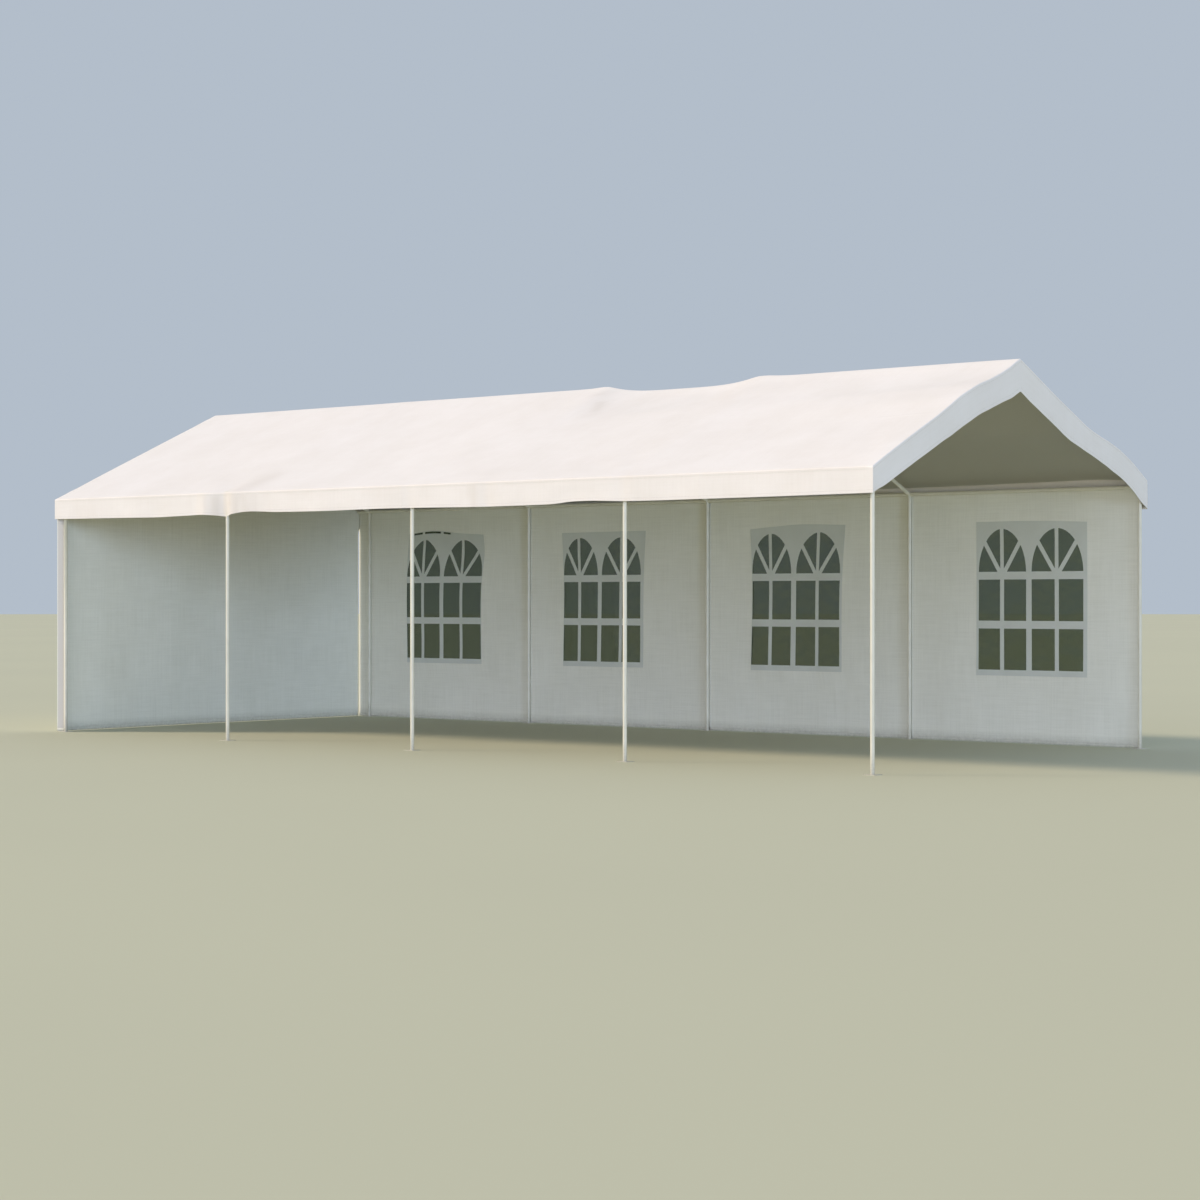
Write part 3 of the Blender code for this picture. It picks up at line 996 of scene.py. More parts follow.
    def pulls(self, x: np.ndarray, y: np.ndarray) -> np.ndarray:
        """Star-like tension folds that run from each rafter's two ends into the panels.

        Args:
            x: Place along the ridge.
            y: Place across.

        Returns:
            Height to add.
        """
        total = np.zeros_like(x + y)
        for index, centre in enumerate(self.skeleton.frame_x):
            for end, reach in zip((self.skeleton.half_width, 0.0), self.star_reach):
                across = np.abs(y) - end
                away = np.hypot(x - centre, across)
                angle = np.arctan2(across, x - centre)
                star = np.sin(9.0 * angle + 1.7 * index + np.sign(y)) * np.exp(-away / reach)
                total += self.star * star * ease(away, 0.03, 0.25)
        return total

    def tuck(self, x: np.ndarray, side: Side) -> np.ndarray:
        """How far the eave edge is pulled out at x, with the pinch where the second post gathers it.

        Args:
            x: Place along the eave.
            side: Which eave.

        Returns:
            Distance out from the plain edge, 0 near the corners.
        """
        posts = self.skeleton.frame_x
        out = self.edge_wave.over(x, np.full_like(x, side.value))
        for place, depth in zip(posts, TIES[side]):
            out = out - depth * hump(x, place, self.tie_width)
        if side is Side.FRONT:
            for away, width, reach in PINCH:
                out = out + reach * hump(x, posts[1] + away, width)
            away, width, depth = NICK
            out = out - depth * hump(x, posts[2] + away, width)
        out = out * inside(x, self.left, self.right, 0.2)
        return out if side is Side.FRONT else out + self.flare * ease(x, self.right - 0.35, self.right)

    def skewed(self, x: np.ndarray, y: np.ndarray) -> np.ndarray:
        """Where a place along the ridge comes to lie, as the closed end isn't square."""
        near = ease(-x, -self.left - 1.2, -self.left)
        return x + self.left_skew * near * np.clip(-y / self.edge_y, 0.0, 1.0)


# The waves of the valance's hanging strips, a slow one and a short one, and those of its hem
SIDE_WAVES = (Wave(0.009, 0.30, 1.6, 40.0), Wave(0.0028, 0.085, 1.2, 43.0))
GABLE_WAVES = (Wave(0.007, 0.35, 1.6, 47.0), Wave(0.002, 0.10, 1.2, 49.0))
BACK_HEM_WAVE = Wave(0.008, 0.5, 1.0, 33.0)
GABLE_HEM_WAVE = Wave(0.003, 1.0, 0.3, 31.0)


@dataclass
class RoofCover:
    """The cover: both slopes and the valance all round, sewn from one cloth into a single curved sheet.

    Attributes:
        form: The roof's form.
        cloth: The cloth's finish.
        thread: The stitches' finish.
        thickness: The cloth's thickness, a little more than the real one so that its edge shows.
        hem_thickness: The same where the hem is folded.
        hem_inset: How far inside the cloth's outer face the hem starts.
        strip: Width of the valance strip on the flat cloth.
        hem: Width of the valance's folded hem.
        seams: Where the stitched lines run: a share of the strip, and a share of the hem from its edge.
        step: Widest distance between two bends of the sheet.
        back_hem: Height of the hem along the back.
        front_hem: Height of the hem along the front, for places along it.
        gable_strip: Depth of the strip on the open gable, for places across it.
        closed_gable_strip: The same on the other gable.
    """

    form: RoofForm
    cloth: bpy.types.Material
    thread: bpy.types.Material
    thickness: float = 1.2 * MM
    hem_thickness: float = 2.0 * MM
    hem_inset: float = 0.6 * MM
    strip: float = 0.20
    hem: float = 0.028
    seams: tuple[float, float] = (0.06, 0.88)
    step: float = 0.045
    back_hem: float = 1.990
    front_hem: tuple[tuple[float, float], ...] = (
        (-4.603, 1.992), (-3.60, 1.984), (-3.03, 1.979), (-2.70, 1.984), (-2.45, 1.987), (-2.29, 1.978),
        (-2.17, 1.967), (-2.07, 1.983), (-1.98, 1.995), (-1.46, 1.990), (-0.87, 1.986), (-0.36, 1.990),
        (0.09, 1.988), (0.91, 1.978), (1.42, 1.979), (1.62, 1.981), (1.81, 1.996), (1.98, 1.998),
        (2.34, 1.987), (3.08, 1.984), (4.603, 1.988))
    gable_strip: tuple[tuple[float, float], ...] = (
        (-2.045, 0.184), (-1.90, 0.193), (-1.43, 0.203), (-1.15, 0.209), (-0.95, 0.226), (-0.75, 0.226),
        (-0.50, 0.215), (-0.25, 0.219), (-0.08, 0.240), (0.0, 0.243), (0.30, 0.247), (0.60, 0.237),
        (0.77, 0.238), (0.93, 0.218), (1.10, 0.198), (1.30, 0.202), (1.50, 0.217), (1.70, 0.215),
        (1.86, 0.226), (1.95, 0.242), (2.045, 0.238))
    closed_gable_strip: tuple[tuple[float, float], ...] = (
        (-2.045, 0.184), (-1.2, 0.200), (-0.3, 0.215), (0.0, 0.235), (0.3, 0.215), (1.2, 0.205),
        (2.045, 0.200))

    def columns(self) -> np.ndarray:
        """Places along the ridge where the cloth is bent."""
        form = self.form
        ends = [form.left + v for v in BENDS] + [form.right - v for v in BENDS]
        return stations(form.left, form.right, self.step, [*ends, *form.skeleton.frame_x])

    def rows(self) -> np.ndarray:
        """Places across the roof where the cloth is bent."""
        form = self.form
        half = stations(0.0, form.edge_y, self.step * form.skeleton.cos_pitch, [
            *RIDGE_BENDS, form.skeleton.half_width, *(form.edge_y - v for v in BENDS)])
        return np.concatenate([-half[:0:-1], half])

    def roof(self, x: np.ndarray, y: np.ndarray) -> np.ndarray:
        """Points of the two slopes, whose eave edges follow the tucks.

        Args:
            x: Place along the ridge.
            y: Place across.

        Returns:
            The points.
        """
        form = self.form
        near = ease(np.abs(y), form.edge_y - 0.35, form.edge_y)
        out = np.where(y < 0, -form.tuck(x, Side.FRONT), form.tuck(x, Side.BACK)) * near
        return stack(form.skewed(x, y), y + out, form.height(x, y))

    def side_drop(self, side: Side, x: np.ndarray) -> np.ndarray:
        """Depth of the strip along an eave at x.

        Args:
            side: Which eave.
            x: Place along it.

        Returns:
            The strip's depth there.
        """
        form = self.form
        edge = form.height(x, np.full_like(x, side.value * form.edge_y))
        if side is Side.FRONT:
            return edge - through(self.front_hem, x)
        free = inside(x, form.left, form.right, 0.1)
        return edge - self.back_hem + free * BACK_HEM_WAVE.over(x, np.zeros_like(x))

    def gable_drop(self, edge: float, y: np.ndarray) -> np.ndarray:
        """Depth of the strip along a gable at y, which meets the eaves' strips at the corners.

        Args:
            edge: The gable's place along the ridge.
            y: Place across.

        Returns:
            The strip's depth there.
        """
        form = self.form
        depth = through(self.gable_strip if edge > 0 else self.closed_gable_strip, y)
        depth = depth + GABLE_HEM_WAVE.over(np.full_like(y, edge), y)
        corner = np.array([edge])
        for side in Side:
            near = ease(side.value * y, form.edge_y - 0.16, form.edge_y)
            depth = depth + near * (self.side_drop(side, corner)[0] - depth)
        return depth

    def side_valance(self, side: Side, x: np.ndarray, share: np.ndarray, out: float = 0.0) -> np.ndarray:
        """Points of the strip along an eave, from its top, 0, to its hem, 1, or of a layer outside it.

        Args:
            side: Which eave.
            x: Place along it.
            share: Share of the depth.
            out: How far outside the strip the layer lies.

        Returns:
            The points.
        """
        form = self.form
        y = np.full_like(x, side.value * form.edge_y)
        depth = share * self.side_drop(side, x[:, 0])[:, None]
        free = inside(x, form.left, form.right, 0.12)
        waves = sum(wave.over(x, share, side.value) for wave in SIDE_WAVES)
        lean = form.tuck(x, side) * (1 + 0.25 * share) + waves * ease(share, 0.0, 1.0) * free
        inset = np.clip(x, form.left - out, form.right + out)
        return stack(form.skewed(inset, y), y + side.value * (lean + out), form.height(x, y) - depth)

    def gable_valance(self, edge: float, y: np.ndarray, share: np.ndarray, out: float = 0.0) -> np.ndarray:
        """Points of the strip along a gable, from its top, 0, to its hem, 1, or of a layer outside it.

        Args:
            edge: The gable's place along the ridge.
            y: Place across.
            share: Share of the depth.
            out: How far outside the strip the layer lies.

        Returns:
            The points.
        """
        form = self.form
        x = np.full_like(y, edge)
        depth = share * self.gable_drop(edge, y[:, 0])[:, None]
        free = ease(-np.abs(y), -form.edge_y, -form.edge_y + 0.15)
        slow, short = GABLE_WAVES
        lean = (slow.over(y, share, edge) + short.over(y, share)) * ease(share, 0.0, 1.0) * free
        inset = np.clip(y, -form.edge_y - out, form.edge_y + out)
        corner = form.tuck(np.array([edge]), Side.BACK)[0] * ease(y, form.edge_y - 0.35, form.edge_y)
        outwards = math.copysign(1.0, edge) * (lean + out)
        return stack(form.skewed(x, y) + outwards, inset + corner, form.height(x, y) - depth)

    def ring(self, low: float, high: float, step: float, out: float = 0.0) -> list[Patch]:
        """The valance's four strips between two depths.

        Args:
            low: Upper depth, as a share from the edge to the hem.
            high: Lower depth.
            step: Distance between its rows, as a share.
            out: How far outside the sheet's outer face the strips lie.

        Returns:
            One patch for each side.
        """
        shares = stations(low, high, step, (0.01, 0.05, 0.985))
        patches = []
        for side in Side:
            place = partial(self.side_valance, side, out=out)
            patches.append(Patch(self.columns(), shares, place, partial(self.side_map, side)))
        for edge in (self.form.left, self.form.right):
            place = partial(self.gable_valance, edge, out=out)
            patches.append(Patch(self.rows(), shares, place, partial(self.gable_map, edge)))
        return patches

    def side_map(self, side: Side, x: np.ndarray, share: np.ndarray) -> np.ndarray:
        """The flat map of an eave's strip."""
        half = self.form.edge_y / self.form.skeleton.cos_pitch
        return np.stack([x, side.value * (half + share * self.strip)], -1)

    def gable_map(self, edge: float, y: np.ndarray, share: np.ndarray) -> np.ndarray:
        """The flat map of a gable's strip."""
        out = math.copysign(1.0, edge) * share * self.strip
        return np.stack([edge + out, y / self.form.skeleton.cos_pitch], -1)

    def build(self) -> None:
        form, bones = self.form, self.form.skeleton
        slope = 1.0 / bones.cos_pitch
        roof = Patch(
            self.columns(), self.rows(), self.roof, lambda x, y: np.stack([x, y * slope], -1))
        mesh = join("roof_cover", [roof, *self.ring(0.0, 1.0, 0.125)], turned=True)
        lay_painted_shade(mesh, self.painted_shade)
        cover = add_piece("roof_cover", mesh, self.cloth, Slot.COVER, self.thickness, -1.0)
        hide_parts("cover_front_slope", "cover_back_slope", "front_valance", "back_valance", *(
            f"{end}_gable_valance_{half}" for end in ("left", "right") for half in ("front", "back")))
        trims = [self.folded_hem()]
        upper, lower = self.seams
        seams = [self.seam_line(share) for share in (upper, 1.0 - lower * self.hem / self.strip)]
        trims.append(Stitches(self.thread).sew("cover_stitches", seams, Slot.COVER))

    @staticmethod
    def painted_shade(places: np.ndarray) -> np.ndarray:
        """How much painted shade darkens the cover at places on the flat cloth, from 0 to 1.

        Args:
            places: The places.

        Returns:
            How much painted shade darkens each of them.
        """
        painted_shade = np.zeros(len(places))
        for start, end, width, strength in PAINTED_SHADE_LINES:
            along = np.subtract(end, start)
            share = np.clip((places - start) @ along / (along @ along), 0.0, 1.0)
            away = np.linalg.norm(places - start - share[:, None] * along, axis=1)
            painted_shade = np.maximum(painted_shade, strength * np.exp(-((away / width) ** 2)))
        return painted_shade

    def folded_hem(self) -> bpy.types.Object:
        """The hem of the valance, folded to its inside, a little past the cloth's own edge."""
        start, end = 1.0 - self.hem / self.strip, 1.003
        mesh = join("valance_hem", self.ring(start, end, end - start, -self.hem_inset), turned=True)
        return add_piece("valance_hem", mesh, self.cloth, Slot.COVER, self.hem_thickness, -1.0)

    def seam_line(self, share: float) -> np.ndarray:
        """Points of a stitched line round the valance at one depth, half in the cloth's outer face.

        Args:
            share: The line's depth, from the edge, 0, to the hem, 1.

        Returns:
            The points in order.
        """
        x, y, at = self.columns(), self.rows(), np.array([share])
        lines = []
        for side in Side:
            line = self.side_valance(side, *np.meshgrid(x, at, indexing="ij"))[:, 0]
            lines.append(line[::-side.value])
        for edge in (self.form.right, self.form.left):
            line = self.gable_valance(edge, *np.meshgrid(y, at, indexing="ij"))[:, 0]
            lines.append(line[::int(math.copysign(1, edge))])
        front, back, right, left = lines
        return np.concatenate([front, right, back, left])


@dataclass
class Stitches:
    """Lockstitches along seams, made by Geometry Nodes.

    The real ones are about 5 mm long. They are drawn longer and further apart, so that they show.

    Attributes:
        thread: The thread's finish.
        pitch: Distance from one stitch to the next.
        length: Length of a stitch.
        radius: Radius of the thread.
        sides: How many sides the thread has.
    """

    thread: bpy.types.Material
    pitch: float = 14.0 * MM
    length: float = 9.0 * MM
    radius: float = 0.7 * MM
    sides: int = 5

    def tree(self) -> bpy.types.NodeTree:
        """Build the tree: a short rod on each step of a path, turned along it.

        Returns:
            The tree, whose inputs are the stitches' sizes.
        """
        tree = bpy.data.node_groups.new("stitches", "GeometryNodeTree")
        face = tree.interface
        face.new_socket("Geometry", in_out="INPUT", socket_type="NodeSocketGeometry")
        for name in ("Pitch", "Stitch Length", "Thread Radius"):
            face.new_socket(name, in_out="INPUT", socket_type="NodeSocketFloat")
        face.new_socket("Geometry", in_out="OUTPUT", socket_type="NodeSocketGeometry")
        given = add_node(tree, "NodeGroupInput").outputs
        path = add_node(tree, "GeometryNodeMeshToCurve", {"Mesh": given["Geometry"]})
        spaced = add_node(tree, "GeometryNodeResampleCurve", {
            "Curve": path.outputs[0], "Length": given["Pitch"]}, mode="LENGTH")
        rod = add_node(tree, "GeometryNodeMeshCylinder", {
            "Vertices": self.sides, "Radius": given["Thread Radius"], "Depth": given["Stitch Length"]},
            fill_type="NGON")
        tangent = add_node(tree, "GeometryNodeInputTangent")
        turn = add_node(tree, "FunctionNodeAlignRotationToVector", {"Vector": tangent.outputs[0]}, axis="Z")
        placed = add_node(tree, "GeometryNodeInstanceOnPoints", {
            "Points": spaced.outputs[0], "Instance": rod.outputs["Mesh"], "Rotation": turn.outputs[0]})
        real = add_node(tree, "GeometryNodeRealizeInstances", {"Geometry": placed.outputs[0]})
        dressed = add_node(tree, "GeometryNodeSetMaterial", {
            "Geometry": real.outputs[0], "Material": self.thread})
        add_node(tree, "NodeGroupOutput", {"Geometry": dressed.outputs[0]})
        return tree

    def sew(self, name: str, lines: Sequence[np.ndarray], slot: Slot) -> bpy.types.Object:
        """Sew stitches along lines of points.

        Args:
            name: The piece's name.
            lines: The seams' points.
            slot: The slot of the cloth that is sewn.

        Returns:
            One piece with all the stitches.
        """
        points, edges = [], []
        for line in lines:
            first = len(points)
            points += line.tolist()
            edges += [(first + i, first + i + 1) for i in range(len(line) - 1)]
        guide_mesh = bpy.data.meshes.new("seam_guide")
        guide_mesh.from_pydata(points, edges, [])
        values = {"Pitch": self.pitch, "Stitch Length": self.length, "Thread Radius": self.radius}
        mesh = grown(guide_mesh, self.tree(), values)
        return add_piece(name, mesh, self.thread, slot)


def grown(guide_mesh: bpy.types.Mesh, tree: bpy.types.NodeTree, values: dict[str, float]) -> bpy.types.Mesh:
    """Run a Geometry Nodes tree on a guide and keep only its plain mesh.

    Args:
        guide_mesh: The mesh that the tree works on, which is removed.
        tree: The tree.
        values: The value of each named input.

    Returns:
        The tree's result.
    """
    guide = bpy.data.objects.new("guide", guide_mesh)
    bpy.context.scene.collection.objects.link(guide)
    step = guide.modifiers.new("Nodes", "NODES")
    step.node_group = tree
    for item in tree.interface.items_tree:
        if item.item_type == "SOCKET" and item.in_out == "INPUT" and item.name in values:
            step[item.identifier] = values[item.name]
    graph = bpy.context.evaluated_depsgraph_get()
    made = bpy.data.meshes.new_from_object(guide.evaluated_get(graph))
    bpy.data.objects.remove(guide)
    bpy.data.meshes.remove(guide_mesh)
    bpy.data.node_groups.remove(tree)
    return made


# Walls and windows


@dataclass(frozen=True)
class Glazing:
    """The printed window: two arched lights side by side, each with a fan above and four panes below.

    Attributes:
        lights: Left edge, upright bar and right edge of each light, from the window's middle.
        slits: Left and right end of each gap that the print leaves under the window's upper edge, where the
            sheet's dark tint shows as a painted shadow line.
        slit_place: Distances of a gap's lower and upper side from that edge.
        bar: Width of the upright bar in a light.
        cross: Height of a level bar.
        fan_bar: Width of a slanting bar in the fan.
        fan_post: Width of the fan's upright bar.
        aim: Where a slanting bar's line meets the arch, as a share of the light's half width.
        arch: Height of the arch.
        fullness: Power that makes the arch a little more pointed than half an ellipse, which is 1.
        sill: Height of the white strip under the lowest panes.
        pane: Height of one row of panes.
        hub: How far under the arch's foot the fan's bars would meet, as a share of a level bar.
        steps: How many straight pieces an arch is made of.
    """

    lights: tuple[Light, Light]
    slits: tuple[tuple[float, float], ...] = ()
    slit_place: tuple[float, float] = (0.020, 0.006)
    bar: float = 0.038
    cross: float = 0.067
    fan_bar: float = 0.037
    fan_post: float = 0.034
    aim: float = 0.73
    arch: float = 0.367
    fullness: float = 1.03
    sill: float = 0.050
    pane: float = 0.357
    hub: float = 0.6
    steps: int = 28

    @staticmethod
    def clip(outline: Outline, normal: tuple[float, float], least: float) -> Outline:
        """Cut an outline by a line and keep one side.

        Args:
            outline: Corner points in order.
            normal: Direction of the side that stays.
            least: Distance of the line from the origin.

        Returns:
            The corner points of what stays.
        """
        kept: Outline = []
        for (x0, z0), (x1, z1) in zip(outline, outline[1:] + outline[:1]):
            d0 = x0 * normal[0] + z0 * normal[1] - least
            d1 = x1 * normal[0] + z1 * normal[1] - least
            if d0 >= 0:
                kept.append((x0, z0))
            if (d0 >= 0) != (d1 >= 0):
                t = d0 / (d0 - d1)
                kept.append((x0 + t * (x1 - x0), z0 + t * (z1 - z0)))
        return kept

    def fan(self, light: Light) -> list[Outline]:
        """The four openings of a fan.

        Args:
            light: Left edge, upright bar and right edge.

        Returns:
            The openings' outlines, over the arch's foot.
        """
        left, bar, right = light
        middle, half = (left + right) / 2, (right - left) / 2
        angles = [math.pi * i / self.steps - math.pi / 2 for i in range(self.steps + 1)]
        arch = [
            (middle + half * math.sin(a), self.arch * max(math.cos(a), 0.0) ** self.fullness)
            for a in reversed(angles)]
        hub = -self.cross * self.hub
        rise = self.arch * (1.0 - self.aim ** 2) ** (self.fullness / 2) - hub
        shapes = []
        for side in (-1, 1):
            lean = math.atan2(side * (middle - bar) + self.aim * half, rise)
            across = (side * math.cos(lean), -math.sin(lean))
            line = bar * across[0] + hub * across[1]
            shapes.append(self.clip(arch, across, line + self.fan_bar / 2))
            upper = self.clip(arch, (-across[0], -across[1]), -line + self.fan_bar / 2)
            shapes.append(self.clip(upper, (side, 0.0), side * bar + self.fan_post / 2))
        return shapes

    def openings(self, height: float) -> list[Outline]:
        """All openings of a window of one height, from the middle of its lower edge.

        Args:
            height: The window's height.

        Returns:
            The outlines of the panes, the fans and the gaps.
        """
        def oblong(x0: float, x1: float, low: float, high: float) -> Outline:
            """The outline of a pane or a gap."""
            return [(x0, low), (x1, low), (x1, high), (x0, high)]

        found = []
        for light in self.lights:
            left, bar, right = light
            for row in range(2):
                low = self.sill + row * (self.pane + self.cross)
                for x0, x1 in ((left, bar - self.bar / 2), (bar + self.bar / 2, right)):
                    found.append(oblong(x0, x1, low, low + self.pane))
            foot = self.sill + 2 * (self.pane + self.cross)
            found += [[(x, foot + z) for x, z in shape] for shape in self.fan(light)]
        under, over = self.slit_place
        return found + [oblong(x0, x1, height - under, height - over) for x0, x1 in self.slits]

    def flat_print(self, width: float, height: float, step: float, thickness: float) -> bpy.types.Mesh:
        """The white print as a thin flat sheet, with its openings cut out.

        Args:
            width: The window's width.
            height: The window's height.
            step: Distance between grid lines, so that the sheet can be bent.
            thickness: The sheet's thickness.

        Returns:
            A mesh in X and Z, from the middle of the window's lower edge.
        """
        patch = Patch(
            stations(-width / 2, width / 2, step), stations(0.0, height, step),
            lambda x, z: stack(x, 0.0 * x, z))
        sheet = bpy.data.objects.new("print", patch.mesh("print"))
        past = 0.05
        bm = bmesh.new()
        for outline in self.openings(height):
            lower = [bm.verts.new((x, -past, z)) for x, z in outline]
            upper = [bm.verts.new((x, past, z)) for x, z in outline]
            bm.faces.new(lower)
            bm.faces.new(upper[::-1])
            for i in range(len(outline)):
                j = (i + 1) % len(outline)
                bm.faces.new((lower[j], lower[i], upper[i], upper[j]))
        bmesh.ops.recalc_face_normals(bm, faces=bm.faces)
        cut_mesh = bpy.data.meshes.new("openings")
        bm.to_mesh(cut_mesh)
        bm.free()
        cutter = bpy.data.objects.new("openings", cut_mesh)
        for thing in (sheet, cutter):
            bpy.context.scene.collection.objects.link(thing)
        thicken(sheet, thickness, 0.0)
        cut = sheet.modifiers.new("Cut", "BOOLEAN")
        cut.operation, cut.solver, cut.object = "DIFFERENCE", "EXACT", cutter
        graph = bpy.context.evaluated_depsgraph_get()
        made = bpy.data.meshes.new_from_object(sheet.evaluated_get(graph))
        for thing in (sheet, cutter):
            data = thing.data
            bpy.data.objects.remove(thing)
            bpy.data.meshes.remove(data)
        return made


@dataclass(frozen=True)
class WindowShape:
    """How one window hangs and how its print is laid out.

    Attributes:
        pulls: (height, left shift, right shift) of its two upright edges.
        crest: (share of the width, rise) of the wave in its upper edge.
        glazing: The print.
    """

    pulls: tuple[tuple[float, float, float], ...]
    crest: tuple[tuple[float, float], ...]
    glazing: Glazing


# The four windows, from the closed end to the open one
WINDOW_SHAPES = (
    WindowShape(
        pulls=(
            (0.58, -0.042, -0.035), (1.47, -0.042, -0.022), (1.75, -0.020, 0.012), (1.90, 0.003, -0.003)),
        crest=((0.0, 0.026), (0.33, 0.053), (0.70, 0.020), (1.0, 0.002)),
        glazing=Glazing(
            lights=((-0.5205, -0.299, -0.061), (-0.0085, 0.239, 0.5175)),
            slits=((-0.452, -0.335), (-0.300, -0.075), (-0.035, 0.065)))),
    WindowShape(
        pulls=((0.58, 0.004, -0.031), (1.48, 0.016, -0.020), (1.90, -0.004, 0.006)),
        crest=((0.0, -0.001), (0.5, 0.002), (1.0, 0.003)),
        glazing=Glazing(((-0.5205, -0.315, -0.076), (-0.0255, 0.2285, 0.485)))),
    WindowShape(
        pulls=((0.58, -0.011, -0.043), (1.50, 0.003, -0.032), (1.90, -0.014, 0.001)),
        crest=((0.0, -0.006), (0.27, 0.014), (0.47, 0.027), (1.0, 0.016)),
        glazing=Glazing(((-0.5205, -0.3035, -0.065), (-0.0075, 0.238, 0.4985)))),
    WindowShape(
        pulls=((0.58, -0.021, 0.009), (1.20, -0.021, 0.009), (1.90, -0.021, 0.009)),
        crest=((0.0, 0.013), (0.5, 0.012), (1.0, -0.005)),
        glazing=Glazing(((-0.503, -0.279, -0.049), (0.0025, 0.240, 0.4885)))))


@dataclass(kw_only=True)
class HungWall:
    """What all hung walls have.

    Attributes:
        form: The roof's form.
        low: Height of the lower edge.
        thickness: The cloth's thickness, a little more than the real one so that its edge shows.
        hem: Width of the hems.
        hem_thickness: Thickness of a hem.
        step: Widest distance between two bends along the sheet.
        slow_wave: The widest waves of the hanging cloth.
        fold_wave: The upright folds between them.
        flutter_wave: Waves of the loose lower edge.
        belly: How far the wall's middle is blown out.
    """

    form: RoofForm
    low: float = 4.0 * MM
    thickness: float = 1.2 * MM
    hem: float
    hem_thickness: float = 1.8 * MM
    step: float
    slow_wave: Wave
    fold_wave: Wave
    flutter_wave: Wave
    belly: float


